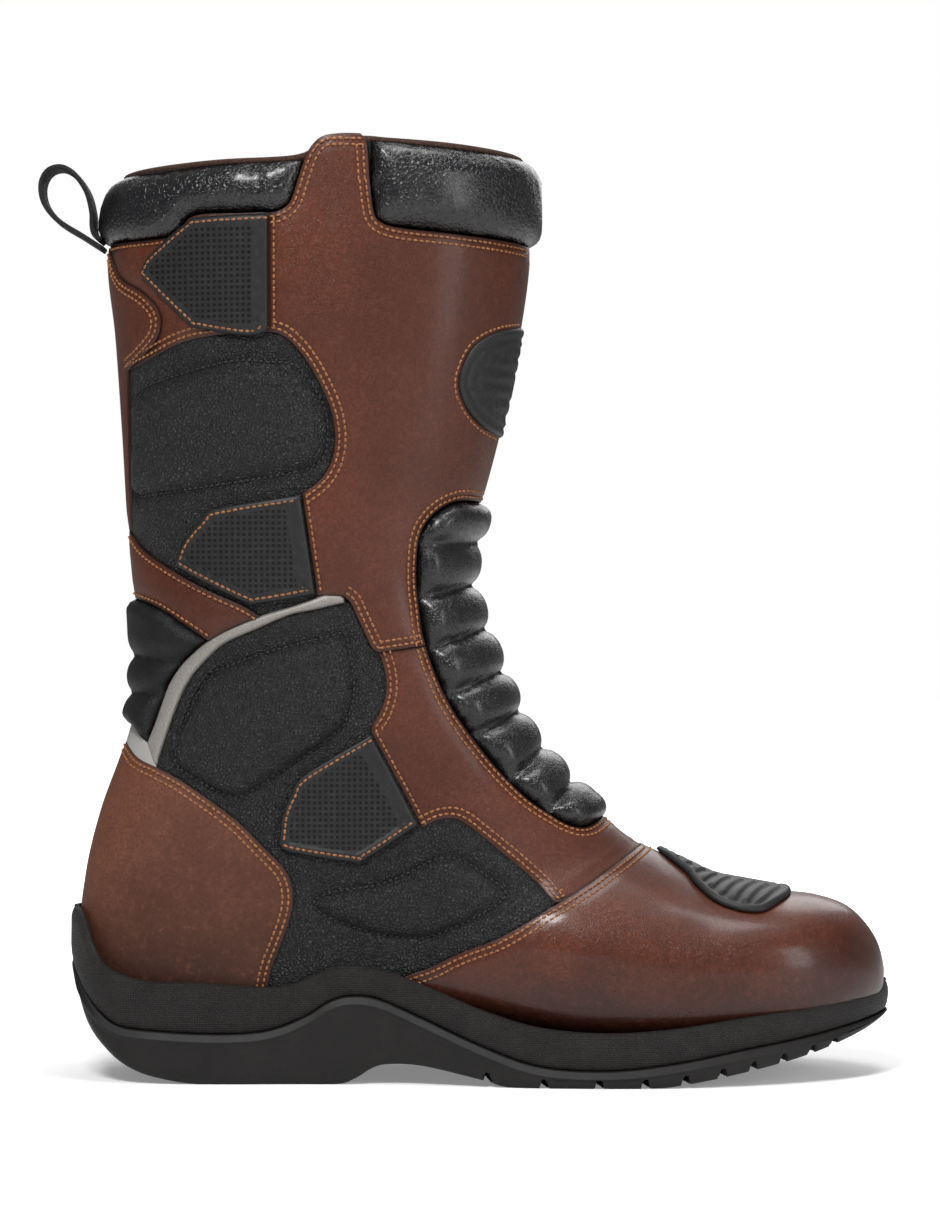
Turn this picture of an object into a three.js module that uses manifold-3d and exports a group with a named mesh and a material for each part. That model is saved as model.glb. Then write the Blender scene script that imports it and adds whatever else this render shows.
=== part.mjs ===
// A mid-calf motorcycle riding boot for the right foot, as the separate pieces that a cobbler would lay
// on the bench. Millimetres, +X towards the toe, +Y towards the inner (medial) side, +Z up. The origin
// is on the ground under the ankle axis. Every upper piece is cut from a shell that is offset from one
// lasted surface, as leather is cut to a pattern and pulled over a last. Patterns are drawn in side view
// at the base size and graded.
import * as THREE from "three";
import Module from "manifold-3d";
import { mergeVertices } from "three/addons/utils/BufferGeometryUtils.js";

const wasm = await Module();
wasm.setup();

// ---- Driving dimensions -----------------------------------------------------------------------------
const SOLE_LENGTH = 308; // heel to toe of the outsole
const BOOT_HEIGHT = 348.5; // ground to the top of the side tab
const BALL_WIDTH = 102; // across the upper at the ball of the foot
const HEEL_WIDTH = 74; // across the upper at the heel
const ANKLE_WIDTH = 75; // across the upper at the ankle axis
const COLLAR_WIDTH = 102; // across the upper at the collar seam
const TOE_SWING = 6; // how far the toe leans to the inner side

const GAP = 0.3; // running gap between neighbouring pieces
const LEATHER = 2; // thickness of the upper leather
const LINING = 3.2; // thickness of the foam-backed lining
const STIFFENER = 1.5; // toe puff, heel stiffener, shin plate and ankle foam, let into the lining
const PATCH = 2.6; // moulded rubber patches
const SHIFT_PAD = 3.2; // gear shift pad
const COLLAR_BULGE = 4.8; // how far the collar padding stands proud of the leather
const COLLAR_PIPING = 1; // how far the collar stands proud at its seams
const RIB_BULGE = 5.5; // how far the flex ribs stand proud
const RIB_GROOVE = 3; // width of the groove between two ribs, at the outside
const PIPING_PROUD = 0.9; // reflective piping above the leather
const FOOTBED = 5; // thickness of the removable footbed
const FEATHER = 17; // from the sole's edge to the line where the upper is turned under the insole board
const SOLE_STEP = 5; // how far the sole stands out beyond the upper at the ball
const SHANK_LENGTH = 68;
const SHANK_WIDTH = 16;
const SHANK_THICKNESS = 1.6;
const TREAD_SLOT = 2.4; // width of a slot in the tread
const TREAD_DEPTH = 4;

const ZIP_GAP = 10; // slot in the leather that shows the zip
const ZIP_TOOTH_WIDTH = 2.2;
const ZIP_TOOTH_PROUD = 0.5;
const SLIDER = { width: 9, length: 14, thickness: 1.8, lift: 0.6 };
const PULLER = { width: 6.5, length: 26, thickness: 1.5 };
const PULLER_PIN = 0.8; // radius of the slider's bridge that the puller swings on
const PULLER_EYE = 1.3; // inner radius of the puller's eye
const PULLER_EYE_WALL = 0.8;
const HOOK_AND_LOOP = 1; // thickness of each half of the fastener
const TAB = 2; // thickness of the closure tab
const HINGE_GAP = 0.5; // between the closure tab and its anchor
const LOOP_WIDTH = 20; // width of the pull loop's webbing

const FORWARD_FLEX = 15; // degrees the shaft leans forward from rest
const BACKWARD_FLEX = 5;
const FLEX_MARGIN = 2; // degrees left free beyond each limit

// ---- Grading and curves -----------------------------------------------------------------------------
const BASE_LENGTH = 308;
const BASE_HEIGHT = 348.5;
// the ankle axis in the base pattern, from the back of the sole and from the ground
const ANKLE = [66, 104];
const lengthGrade = SOLE_LENGTH / BASE_LENGTH;
const heightGrade = BOOT_HEIGHT / BASE_HEIGHT;
const grade = ([x, z]) => [(x - ANKLE[0]) * lengthGrade, z * heightGrade];

const mix = (a, b, t) => a + (b - a) * t;
const clamp01 = (t) => Math.min(1, Math.max(0, t));
const smoothstep = (a, b, x) => {
  const t = clamp01((x - a) / (b - a));
  return t * t * (3 - 2 * t);
};

// Uniform Catmull-Rom through rows of numbers, at a row position that may be fractional.
function between(rows, at) {
  const i = Math.min(rows.length - 2, Math.max(0, Math.floor(at)));
  const t = at - i;
  const row = (k) => rows[Math.min(rows.length - 1, Math.max(0, k))];
  const [p, q, r, s] = [row(i - 1), row(i), row(i + 1), row(i + 2)];
  return q.map(
    (_, k) =>
      q[k] +
      0.5 *
        t *
        (r[k] - p[k] + t * (2 * p[k] - 5 * q[k] + 4 * r[k] - s[k] + t * (3 * (q[k] - r[k]) + s[k] - p[k]))),
  );
}

// A graded outline from runs of points, where a run may start at the point that ends the one before.
function outline(runs) {
  return runs
    .flat()
    .map(grade)
    .filter((p, i, all) => Math.hypot(...sub(p, all[(i + 1) % all.length])) > 0.05);
}

const sub = (a, b) => a.map((v, k) => v - b[k]);

function area(points) {
  return points.reduce((sum, p, i) => {
    const q = points[(i + 1) % points.length];
    return sum + (p[0] * q[1] - q[0] * p[1]) / 2;
  }, 0);
}

// Moves each side of an outline inwards, or outwards when by is negative.
function inset(points, by) {
  const turn = Math.sign(area(points));
  return points.map((p, i) => {
    const before = sub(p, points[(i + points.length - 1) % points.length]);
    const after = sub(points[(i + 1) % points.length], p);
    const sides = [before, after].map(([x, z]) => [(-z / Math.hypot(x, z)) * turn,
      (x / Math.hypot(x, z)) * turn]);
    const miter = [sides[0][0] + sides[1][0], sides[0][1] + sides[1][1]];
    const square = Math.max(0.6, miter[0] ** 2 + miter[1] ** 2);
    return [p[0] + (miter[0] * 2 * by) / square, p[1] + (miter[1] * 2 * by) / square];
  });
}

// ---- Solids -----------------------------------------------------------------------------------------
function solid(geometry) {
  const bare = new THREE.BufferGeometry();
  bare.setAttribute("position", geometry.getAttribute("position"));
  if (geometry.index) bare.setIndex(geometry.index);
  const merged = mergeVertices(bare, 1e-4);
  return new wasm.Manifold(
    new wasm.Mesh({
      numProp: 3,
      vertProperties: new Float32Array(merged.attributes.position.array),
      triVerts: new Uint32Array(merged.index.array),
    }),
  );
}

function shapeOf(points) {
  const wound = area(points) < 0 ? [...points].reverse() : points;
  return new THREE.Shape(wound.map(([x, y]) => new THREE.Vector2(x, y)));
}

const FAR = 160; // beyond the boot on either side

// A side-view outline extruded across the boot, from yLow to yHigh.
function sideCut(points, yLow = -FAR, yHigh = FAR) {
  const geometry = new THREE.ExtrudeGeometry(shapeOf(points), { depth: yHigh - yLow, bevelEnabled: false });
  return solid(geometry.rotateX(Math.PI / 2).translate(0, yHigh, 0));
}

// A plan-view outline extruded upwards.
function planCut(points, zLow, zHigh) {
  const geometry = new THREE.ExtrudeGeometry(shapeOf(points), { depth: zHigh - zLow, bevelEnabled: false });
  return solid(geometry.translate(0, 0, zLow));
}

const lateralCut = (points) => sideCut(points, -FAR, -GAP / 2);
const medialCut = (points) => sideCut(points, GAP / 2, FAR);

// ---- The lasted surface -----------------------------------------------------------------------------
// Stations from the collar down the leg, round the heel and along the foot to the toe tip. Each is a
// straight line in side view, from the back (or bottom) of the boot to its front (or top), with the
// squareness of its section at either end: 2 is an ellipse and 4 a rounded box.
// [back x, back z, front x, front z, squareness at the back, squareness at the front]
const STATIONS = [
  [22, 352, 170.5, 352, 2.1, 2.1],
  [15, 311, 171.5, 311, 2.1, 2.1],
  [18, 276, 167.5, 278, 2.1, 2.1],
  [20.5, 240, 160, 241, 2.1, 2.1],
  [22.5, 206, 152.5, 212, 2.1, 2.1],
  [25, 178, 147.5, 187, 2.1, 2.1],
  [26, 156, 152.5, 167, 2.2, 2.1],
  [24, 136, 160, 147.5, 2.3, 2.1],
  [19.5, 120, 168.5, 129, 2.5, 2.1],
  [12, 99, 180, 114, 2.8, 2.1],
  [6.5, 76, 191, 103, 3, 2.1],
  [4.5, 50, 200, 96, 3, 2.1],
  [12, 26, 210, 88, 3.2, 2.1],
  [40, 22.5, 220, 82, 4, 2.2],
  [88, 24.5, 231, 76.5, 4.5, 2.2],
  [136, 24, 242, 71.5, 4.5, 2.2],
  [184, 16.5, 254, 69, 4.5, 2.2],
  [222, 15, 268, 66.5, 4.5, 2.4],
  [252, 17.5, 281, 65, 4.2, 2.4],
  [276, 21, 293, 60.5, 3.6, 2.4],
  [291, 25, 302, 50, 3, 2.4],
  [301, 28.5, 305.5, 38, 2.4, 2.3],
  [305, 31, 305, 31.5, 2, 2],
];
const TIP = STATIONS.length - 1;
const TOE_START = 238; // where the plan of the toe starts to round in
const TOE_END = 305.6;

// Half width of the upper over the foot, by distance from the back of the sole.
function footHalfWidth(x) {
  const waist = mix(HEEL_WIDTH / 2, BALL_WIDTH / 2, smoothstep(118, 200, x));
  const toe = Math.pow(clamp01((x - TOE_START) / (TOE_END - TOE_START)), 2.3);
  return waist * Math.pow(Math.max(0, 1 - toe), 0.52);
}

// Half width of the leg, by height. It is straight from the ankle to the collar, so that the zip runs
// straight.
function legHalfWidth(z) {
  return mix(ANKLE_WIDTH / 2, COLLAR_WIDTH / 2, clamp01((z - 118) / (311 - 118)));
}

function centreLine(x, z) {
  return TOE_SWING * smoothstep(150, 300, x) * smoothstep(140, 90, z);
}

const SECTION_STEPS = 48;
const sections = new Map();

// One half of the section at a station position, evenly spaced round it, from the back to the front.
function section(at, columns) {
  const key = at + "/" + columns;
  if (sections.has(key)) return sections.get(key);
  const [bx, bz, fx, fz, backSquare, frontSquare] = between(STATIONS, at);
  const walked = [];
  let length = 0;
  for (let i = 0; i <= SECTION_STEPS; i++) {
    const turn = (Math.PI * i) / SECTION_STEPS;
    const along = -Math.cos(turn);
    const power = 2 / (along < 0 ? backSquare : frontSquare);
    const place = Math.sign(along) * Math.pow(Math.abs(along), power);
    const across = Math.pow(Math.max(0, Math.sin(turn)), power);
    const x = mix(bx, fx, (place + 1) / 2);
    const z = mix(bz, fz, (place + 1) / 2);
    const half = mix(footHalfWidth(x), legHalfWidth(z), smoothstep(75, 128, z)) * across;
    const point = [x, half, z];
    if (i) length += Math.hypot(...sub(point, walked[i - 1].point));
    walked.push({ point, length });
  }
  const made = [];
  for (let c = 0; c <= columns; c++) {
    const want = (length * c) / columns;
    let i = 1;
    while (i < SECTION_STEPS && walked[i].length < want) i++;
    const span = walked[i].length - walked[i - 1].length || 1;
    const t = clamp01((want - walked[i - 1].length) / span);
    made.push(walked[i - 1].point.map((v, k) => mix(v, walked[i].point[k], t)));
  }
  sections.set(key, made);
  return made;
}

const COLUMNS = 9; // on each side
const ROWS = STATIONS.map((_, i) => i);

// The lasted surface as rings of points, outer side first (outer is -Y), then back along the inner side.
function ring(at) {
  const half = section(at, COLUMNS);
  const outer = half.map(([x, y, z]) => [x, centreLine(x, z) - y, z]);
  const inner = half.slice(1, -1).reverse();
  return [...outer, ...inner.map(([x, y, z]) => [x, centreLine(x, z) + y, z])].map(([x, y, z]) => {
    const [gx, gz] = grade([x, z]);
    return new THREE.Vector3(gx, y, gz);
  });
}

const rings = ROWS.slice(0, -1).map(ring);
const tip = ring(TIP)[0];

function ringNormals() {
  const around = rings[0].length;
  return rings.map((points, r) =>
    points.map((_, c) => {
      const up = rings[Math.max(0, r - 1)][c];
      const down = r + 1 < rings.length ? rings[r + 1][c] : tip;
      const side = new THREE.Vector3().subVectors(points[(c + 1) % around],
        points[(c + around - 1) % around]);
      return new THREE.Vector3().subVectors(down, up).cross(side).normalize();
    }),
  );
}
const normals = ringNormals();

// The solid inside the lasted surface moved outwards by offset. raise lifts its top, for cutting a
// shell open.
const lasted = new Map();
function last(offset, raise = 0) {
  const key = offset + "/" + raise;
  if (lasted.has(key)) return lasted.get(key);
  const around = rings[0].length;
  const positions = [];
  rings.forEach((points, r) =>
    points.forEach((p, c) => {
      const moved = p.clone().addScaledVector(normals[r][c], offset);
      if (!r) moved.z += raise;
      positions.push(moved.x, moved.y, moved.z);
    }),
  );
  const end = tip.clone().add(new THREE.Vector3(offset, 0, -0.2 * offset));
  positions.push(end.x, end.y, end.z);
  const top = new THREE.Vector3();
  for (let c = 0; c < around; c++) top.add(new THREE.Vector3().fromArray(positions, 3 * c));
  top.multiplyScalar(1 / around);
  positions.push(top.x, top.y, top.z);
  const endIndex = rings.length * around;
  const faces = [];
  for (let c = 0; c < around; c++) {
    const next = (c + 1) % around;
    for (let r = 0; r + 1 < rings.length; r++) {
      const [a, b] = [r * around + c, r * around + next];
      faces.push(a, a + around, b, b, a + around, b + around);
    }
    const lastRow = (rings.length - 1) * around;
    faces.push(lastRow + c, endIndex, lastRow + next);
    faces.push(endIndex + 1, c, next);
  }
  const geometry = new THREE.BufferGeometry();
  geometry.setAttribute("position", new THREE.Float32BufferAttribute(positions, 3));
  geometry.setIndex(faces);
  const made = offset < 0 ? solid(geometry).intersect(toeGuard(offset)) : solid(geometry);
  lasted.set(key, made);
  return made;
}

// At the sharp toe the offset rings fold over each other, so an inner solid also stays behind this plane.
function toeGuard(offset) {
  const [end] = grade([TOE_END + 1.2 * offset, 0]);
  return planCut([[-FAR, -FAR], [end, -FAR], [end, FAR], [-FAR, FAR]], -FAR, 4 * FAR);
}

const TOP_RAISE = 30;
const shell = (inner, outer) => last(outer).subtract(last(inner, TOP_RAISE));
const leather = shell(-LEATHER, 0);
const liningOuter = -LEATHER - GAP;
const liningInner = liningOuter - LINING;
const lining = shell(liningInner, liningOuter);

// The height and width of the lasted surface where a side-view point meets it, on the inner side.
function medialPoint([px, pz], offset = 0) {
  const [gx, gz] = grade([px, pz]);
  const probe = sideCut(
    [[gx - 0.5, gz - 0.5], [gx + 0.5, gz - 0.5], [gx + 0.5, gz + 0.5], [gx - 0.5, gz + 0.5]],
    0,
    FAR,
  ).intersect(last(offset));
  return new THREE.Vector3(gx, probe.boundingBox().max[1], gz);
}

// ---- Patterns, in side view at the base size --------------------------------------------------------
const BACK = -8; // behind the boot
const FRONT = 325; // ahead of the boot

const collarEdge = [[113.5, 332], [115, 320], [117.5, 316], [125, 314], [144.5, 312.5], [171.5, 310]];
const flexUpperEdge = [
  [172, 216], [153, 214.5], [146.5, 215], [141.5, 213.5], [137, 210.5], [133.5, 206.5], [131, 201],
  [130, 192], [130, 183], [131, 174.5], [132, 166.5], [133.5, 161],
];
const flexLowerEdge = [
  [133.5, 161], [137, 151], [141.5, 141], [148.5, 130], [156.5, 119.5], [164.5, 110.5], [172, 103.5],
  [180, 98], [186, 94.5], [192.5, 93], [198.5, 95], [216, 101],
];
const shaftBottomEdge = [[116.5, 158.5], [114, 160], [111.5, 165], [108.5, 171.5], [106, 177],
  [103, 179.5]];
const calfFrontEdge = [
  [88.5, 217], [95, 222], [99, 228.5], [100.5, 236.5], [99.5, 245.5], [96, 255], [89.5, 266.5],
  [82.5, 274], [77, 276],
];
const calfTopEdge = [[77, 276], [57, 275], [44, 272.5], [30.5, 266.5], [23, 263.5]];
const stayEdge = [
  [15, 310.7], [20, 298.5], [29, 292], [34.5, 286.5], [36.5, 281], [35, 274.5], [29, 268], [23, 263.5],
];
const bandTopEdge = [[22.5, 204.5], [29, 196.5], [41, 188.5], [54, 181.5], [66.5, 176], [73, 173]];
const bandBottomEdge = [[25.5, 179], [35.5, 175], [45, 169], [54, 164]];
const pipingOuterEdge = [
  [96.5, 180], [86, 176], [73, 172], [61, 167], [52.5, 162], [45, 155.5], [39.5, 148], [36.5, 140.5],
  [33.5, 132], [30.5, 124.5],
];
const pipingInnerEdge = [
  [35.5, 121], [39.5, 132.5], [43, 141.5], [47, 149], [52.5, 155.5], [60, 162], [71, 167], [84, 172.5],
  [93.5, 174.5], [104, 177],
];
const heelTopEdge = [[19, 127], [26.5, 119.5], [34, 116], [43, 111.5], [54, 104.3]];
const heelFrontEdge = [
  [54, 104.3], [65, 96], [75, 86], [81, 80], [84, 74.5], [85, 67.5], [83.5, 59.5], [80, 50], [77, 42],
  [74.5, 30], [74, 14],
];
const stripRearEdge = [[116.5, 158.5], [118.5, 152], [119, 144.5], [117, 137], [114, 132], [114, 128.5]];
const stripLowerEdge = [
  [132.5, 94], [139.5, 97], [146.5, 96.5], [156, 89.5], [166.5, 81], [175, 73.5], [181.5, 67],
  [186.5, 68.5],
];
const vampEdge = [[216, 86], [205, 80], [195, 73.5], [186.5, 68.5], [178.5, 64], [162, 54.5], [147, 48.5],
  [136, 43], [125.5, 39], [112, 30], [104, 12]];
const QUARTER_TOP = 105.5; // height of the join between the ankle panel and the quarter

const reversed = (run) => [...run].reverse();

const zipTop = [88, 300];
const zipBottom = [97, 184];
const zipX = (z) => mix(zipBottom[0], zipTop[0], (z - zipBottom[1]) / (zipTop[1] - zipBottom[1]));
// A straight strip along the zip, between two distances from its centre line.
const zipStrip = (near, far, low, high) => [
  [[zipX(low) + near, low], [zipX(low) + far, low]],
  [[zipX(high) + far, high], [zipX(high) + near, high]],
];

const TAB_TOP = 348.5;
const TAB_REAR = 66; // rear end of the closure tab's ground on the inner side
const tabTopEdge = [[79, 319.5], [84.5, 323.5], [88.5, 335.5], [91.5, 342.5], [96, 347],
  [103, TAB_TOP], [110, TAB_TOP]];

const shaftFrontRuns = [
  [[110, TAB_TOP], [112.5, 344.5], [113.5, 332]],
  collarEdge,
  [[171.5, 310], [FRONT, 309]],
  [[FRONT, 216], [172, 216]],
  flexUpperEdge,
  [[133.5, 161], [116.5, 158.5]],
  shaftBottomEdge,
];
const PATTERNS = {
  shaftLateral: outline([...shaftFrontRuns, [[103, 179.5], [94, 180]], [[94, 180],
    [88.5, 217]], calfFrontEdge,
    [[77, 276], [77, 319.5]], tabTopEdge]),
  shaftMedial: outline([...shaftFrontRuns, [[92, 180], [92, 184], [102, 184]],
    [[102, 184], [zipX(TAB_TOP) + ZIP_GAP / 2, TAB_TOP]]]),
  backStay: outline([[[BACK, 310.7], [15, 310.7]], stayEdge, [[23, 263.5], [22, 232], [22.5, 204.5]],
    [[22.5, 204.5], [BACK, 204.5]]]),
  rearLateral: outline([reversed(stayEdge), [[15, 310.7], [40.5, 311.7], [48.5, 318.7], [77, 319.5]],
    [[77, 319.5], [77, 276]], calfTopEdge]),
  rearMedial: outline([reversed(stayEdge), [[15, 310.7], [40.5, 311.7], [48.5, 318.7], [TAB_REAR, 319.2]],
    [[TAB_REAR, 340], [70, TAB_TOP]], [[74, TAB_TOP], [zipX(TAB_TOP) - ZIP_GAP / 2, TAB_TOP]],
    [[zipX(TAB_TOP) - ZIP_GAP / 2, TAB_TOP], [zipX(276) - ZIP_GAP / 2, 276]], calfTopEdge]),
  calfLateral: outline([calfTopEdge, [[23, 263.5], [22, 232], [22.5, 204.5]], bandTopEdge,
    [[73, 173], [86, 176], [94, 179.5]], [[94, 180], [88.5, 217]], calfFrontEdge]),
  calfMedial: outline([calfTopEdge, [[23, 263.5], [22, 232], [22.5, 204.5]], bandTopEdge,
    [[73, 173], [86, 176], [92, 178.5], [92, 184], [zipX(276) - ZIP_GAP / 2, 276]]]),
  diagonalBand: outline([[[BACK, 204.5], [22.5, 204.5]], bandTopEdge, [[73, 172], [61, 167], [54, 164]],
    reversed(bandBottomEdge), [[25.5, 179], [BACK, 179]]]),
  rearFlex: outline([[[BACK, 179], [25.5, 179]], bandBottomEdge,
    [[52.5, 162], [45, 155.5], [39.5, 148], [36.5, 140.5], [33.5, 132], [30.5, 124.5]], [[21, 132],
    [BACK, 134]]]),
  heelReflector: outline([[[BACK, 134], [21, 132], [30.5, 124.5]], reversed(heelTopEdge.slice(0, 3)),
    [[BACK, 129]]]),
  piping: outline([pipingOuterEdge, [[33.5, 117]], pipingInnerEdge, [[103, 179.5]]]),
  ankle: outline([[[34, 116], ...pipingInnerEdge], reversed(shaftBottomEdge).slice(1), stripRearEdge,
    [[114, 128.5], [126.2, QUARTER_TOP]], [[126.2, QUARTER_TOP], [52.5, QUARTER_TOP]],
    [[52.5, QUARTER_TOP], [43, 111.5], [34, 116]]]),
  quarter: outline([[[126.2, QUARTER_TOP], [132.5, 94]], stripLowerEdge.slice(0, -1), vampEdge.slice(4),
    [[104, 12], [74, 14]], reversed(heelFrontEdge), [[54, QUARTER_TOP], [126.2, QUARTER_TOP]]]),
  instep: outline([flexLowerEdge, [[216, 101], [216, 86]],
    vampEdge.slice(0, 4), reversed(stripLowerEdge).slice(1),
    [[132.5, 94], [114, 128.5]], reversed(stripRearEdge), [[116.5, 158.5], [133.5, 161]]]),
  frontFlex: outline([flexUpperEdge, flexLowerEdge, [[216, 101], [FRONT, 101]], [[FRONT, 216],
    [172, 216]]]),
  vamp: outline([vampEdge, [[104, 4], [FRONT, 4]], [[FRONT, 100], [216, 100]], [[216, 100], [216, 86]]]),
  heel: outline([[[BACK, 129]], heelTopEdge, heelFrontEdge, [[74, 10], [BACK, 10]]]),
  upperPatch: outline([[[29.5, 299], [33, 305], [46.5, 316], [51.5, 318], [76.6, 319]], [[76.6, 319],
    [76.6, 276.5]],
    [[76.6, 276.5], [69.5, 274.5], [51.5, 277.5], [47, 280], [31.5, 296]]]),
  middlePatch: outline([[[43, 193.5], [46, 200.5], [52.5, 208], [57, 211.5], [88, 216.6]],
    [[88, 216.6], [93.2, 180.5]],
    [[93.2, 180], [74, 177], [67.5, 177.5], [44.5, 189.5]]]),
  lowerPatch: outline([[[80, 89.5], [81, 98.5], [84, 106], [89, 113.5], [113.3, 128.5]],
    [[113.3, 128.5], [131, 95]],
    [[131, 95], [111.5, 82.5], [107.5, 81.5], [83, 85.5]]]),
  badge: outline([[[FRONT, 282], [168.5, 280.5], [157.5, 277], [150, 271.5], [145.5, 262], [145.5, 255],
    [148.5, 247.5], [154, 242], [160, 239.5], [FRONT, 238]]]),
  shiftPad: outline([[[219, 82.5], [225.5, 78], [230, 74.5], [233.5, 70], [239, 65.5], [245.5, 62.5],
    [252.5, 61],
    [258.5, 61], [263.5, 63], [271.5, 66.5]], [[276, 80], [240, 100], [215, 100]]]),
  collarFront: outline([[[113.9, 347], [121, 346], [144.5, 344], [169, 342.5], [FRONT, 342]],
    [[FRONT, 310], [171.5, 310]], reversed(collarEdge), [[113.5, 332], [113.9, 347]]]),
  collarRear: outline([[[BACK, 336], [22.5, 336], [35.5, 335.5], [56.5, 337.5], [86.5, 338.5]],
    [[89, 336.5], [88, 334], [84.5, 324], [79, 319.8]], [[79, 319.8], [48.5, 319], [40.5, 311.9],
    [15, 311]],
    [[15, 311], [BACK, 311]]]),
  collarFrontPad: outline([[[117.5, 342.5], [144.5, 340.5], [169, 339], [FRONT, 339]],
    [[FRONT, 314], [171.5, 314], [144.5, 316.5], [126, 318], [119.5, 322], [117.5, 332]]]),
  collarRearPad: outline([[[BACK, 332.5], [22.5, 332.5], [56.5, 334], [84, 335], [80, 324.5], [76, 323.5],
    [47.5, 323], [39, 317.5], [15, 316.8], [BACK, 316.8]]]),
  ankleFoam: outline([[[45, 121.5], [50, 138], [57, 148], [76, 155], [100, 160]], [[100, 160],
    [103, 147], [98, 129.5],
    [84, 118.5], [66, 109]], [[66, 109], [48, 116], [45, 121.5]]]),
  shinPlate: outline([[[140, 232], [138, 262], [140, 296]], [[140, 296], [FRONT, 296]], [[FRONT, 232],
    [140, 232]]]),
  toePuff: outline([[[258, 10], [258, 66], [262, 90]], [[262, 90], [FRONT, 90]], [[FRONT, 4], [258, 4]]]),
  heelStiffener: outline([[[BACK, 92], [30, 92], [56, 78], [70, 50], [70, 32]], [[70, 32], [70, 4]],
    [[70, 4], [BACK, 4]]]),
};

// ---- Sole unit --------------------------------------------------------------------------------------
const soleTopEdge = [
  [3, 63], [6, 57.5], [9, 50], [13, 44], [20.5, 40], [33.5, 37.5], [54, 37], [75, 35.5], [85, 37],
  [98.5, 42.5],
  [106, 43.5], [116, 42.5], [126.5, 39], [136.5, 35], [154, 28], [175, 22], [200.5, 20],
  [225.5, 21.5], [250.5, 25],
  [275.5, 28.5], [309, 35.5],
];
const soleSplitEdge = [
  [-1, 46], [6, 33.5], [13, 25.5], [20.5, 21], [33.5, 19.5], [54, 18.5], [70, 19], [80, 21], [90.5, 25.5],
  [98.5, 30.5], [106, 32.5], [116, 31.5], [131.5, 25], [154, 15], [175, 8], [200.5, 6.5], [225.5, 9],
  [250.5, 13.5],
  [275.5, 17.5], [310, 24],
];
const treadEdge = [
  [-1, 46], [2, 38], [4, 31], [8, 21], [15.5, 12], [23.5, 6], [33.5, 2.5], [50, 0],
];
const archEdge = [[100, 0], [107.5, 2], [114, 6], [120, 7.5], [132.5, 7], [154, 2.5], [165, 0]];
const toeSpringEdge = [[215, 0], [228, 1], [250.5, 5], [275.5, 10.5], [295, 17], [306, 22], [310, 24]];

// Plan of the sole at the base size, from the back of the heel along the outer side and back along the
// inner.
const solePlan = [
  [0.5, 0], [3, -18], [12, -32], [30, -40], [60, -42], [95, -41.5], [125, -43.5], [155, -50.5],
  [185, -55.5],
  [215, -56], [245, -51.5], [270, -42], [290, -28], [303, -11], [308, 6], [305, 22], [294, 37], [275, 49],
  [250, 57], [220, 60], [190, 57], [160, 51], [125, 43.5], [95, 41], [60, 42], [30, 40], [12, 32], [3, 18],
];
const SOLE_WALL_HALF_WIDTH = 56; // half width of the base plan at the ball
const planWidthGrade = (BALL_WIDTH / 2 + SOLE_STEP) / SOLE_WALL_HALF_WIDTH;
const planEdge = solePlan.map(([x, y]) => [grade([x, 0])[0], y * planWidthGrade]);

// The ground of the insole board, or a smaller one when by is positive.
function boardGround(by) {
  const plan = planCut(inset(planEdge, FEATHER + by), -5, 34 * heightGrade);
  return plan.intersect(sideCut(inset(outline([[[20, 0], [292, 0], [292, 36], [20, 36]]]), by)));
}

// ---- Foot and leg halves of the lining --------------------------------------------------------------
const ray = (degrees) => {
  const [x, z] = grade(ANKLE);
  return [x + 400 * Math.cos((degrees * Math.PI) / 180), z + 400 * Math.sin((degrees * Math.PI) / 180)];
};
const FOOT_FRONT = 8; // degrees above the horizontal, from the ankle axis, where the foot half ends
const FOOT_REAR = 150;
const LEG_FRONT = FOOT_FRONT + FORWARD_FLEX + FLEX_MARGIN;
const LEG_REAR = FOOT_REAR - BACKWARD_FLEX - FLEX_MARGIN;
const wedge = (...degrees) => sideCut(inset([grade(ANKLE), ...degrees.map(ray)], GAP / 2));
const footHalf = wedge(FOOT_REAR, 190, 235, 270, 305, 340, FOOT_FRONT);
const legHalf = wedge(LEG_FRONT, 60, 90, 115, LEG_REAR);
const rimEdge = [
  [BACK, 337], [22, 337], [56, 338.5], [86, 339.5], [100, 346.5], [121, 346.5], [169, 343.5], [FRONT, 343],
];
const openTop = sideCut(outline([rimEdge, [[FRONT, 420], [BACK, 420]]]));

// ---- Assembly ---------------------------------------------------------------------------------------
const boot = new THREE.Group();

const finish = (colour, roughness, metalness = 0) =>
  new THREE.MeshStandardMaterial({ color: colour, roughness, metalness });
const MATERIALS = {
  brown: finish(0x5a3324, 0.45),
  textured: finish(0x26272a, 0.7),
  black: finish(0x18191b, 0.4),
  rubber: finish(0x2b2826, 0.75),
  patch: finish(0x2d2b2c, 0.6),
  reflective: finish(0xa59d95, 0.4),
  lining: finish(0x1c1c1e, 0.95),
  webbing: finish(0x151516, 0.9),
  board: finish(0x8a765a, 0.9),
  foam: finish(0x3a3a3c, 0.95),
  plastic: finish(0xc8c6bf, 0.5),
  steel: finish(0x9a9ca0, 0.35, 1),
  nickel: finish(0x55565a, 0.3, 1),
};

// Adds the body of a node, without the slivers that a cut can leave beside it.
function add(name, made, material) {
  const pieces = made.decompose().sort((a, b) => b.volume() - a.volume());
  const mesh = pieces[0].getMesh();
  const positions = new Float32Array(mesh.numVert * 3);
  for (let i = 0; i < mesh.numVert; i++)
    positions.set(mesh.vertProperties.subarray(i * mesh.numProp, i * mesh.numProp + 3), 3 * i);
  const geometry = new THREE.BufferGeometry();
  geometry.setAttribute("position", new THREE.BufferAttribute(positions, 3));
  geometry.setIndex(new THREE.BufferAttribute(mesh.triVerts, 1));
  const part = new THREE.Mesh(geometry, MATERIALS[material]);
  part.name = name;
  boot.add(part);
}

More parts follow.
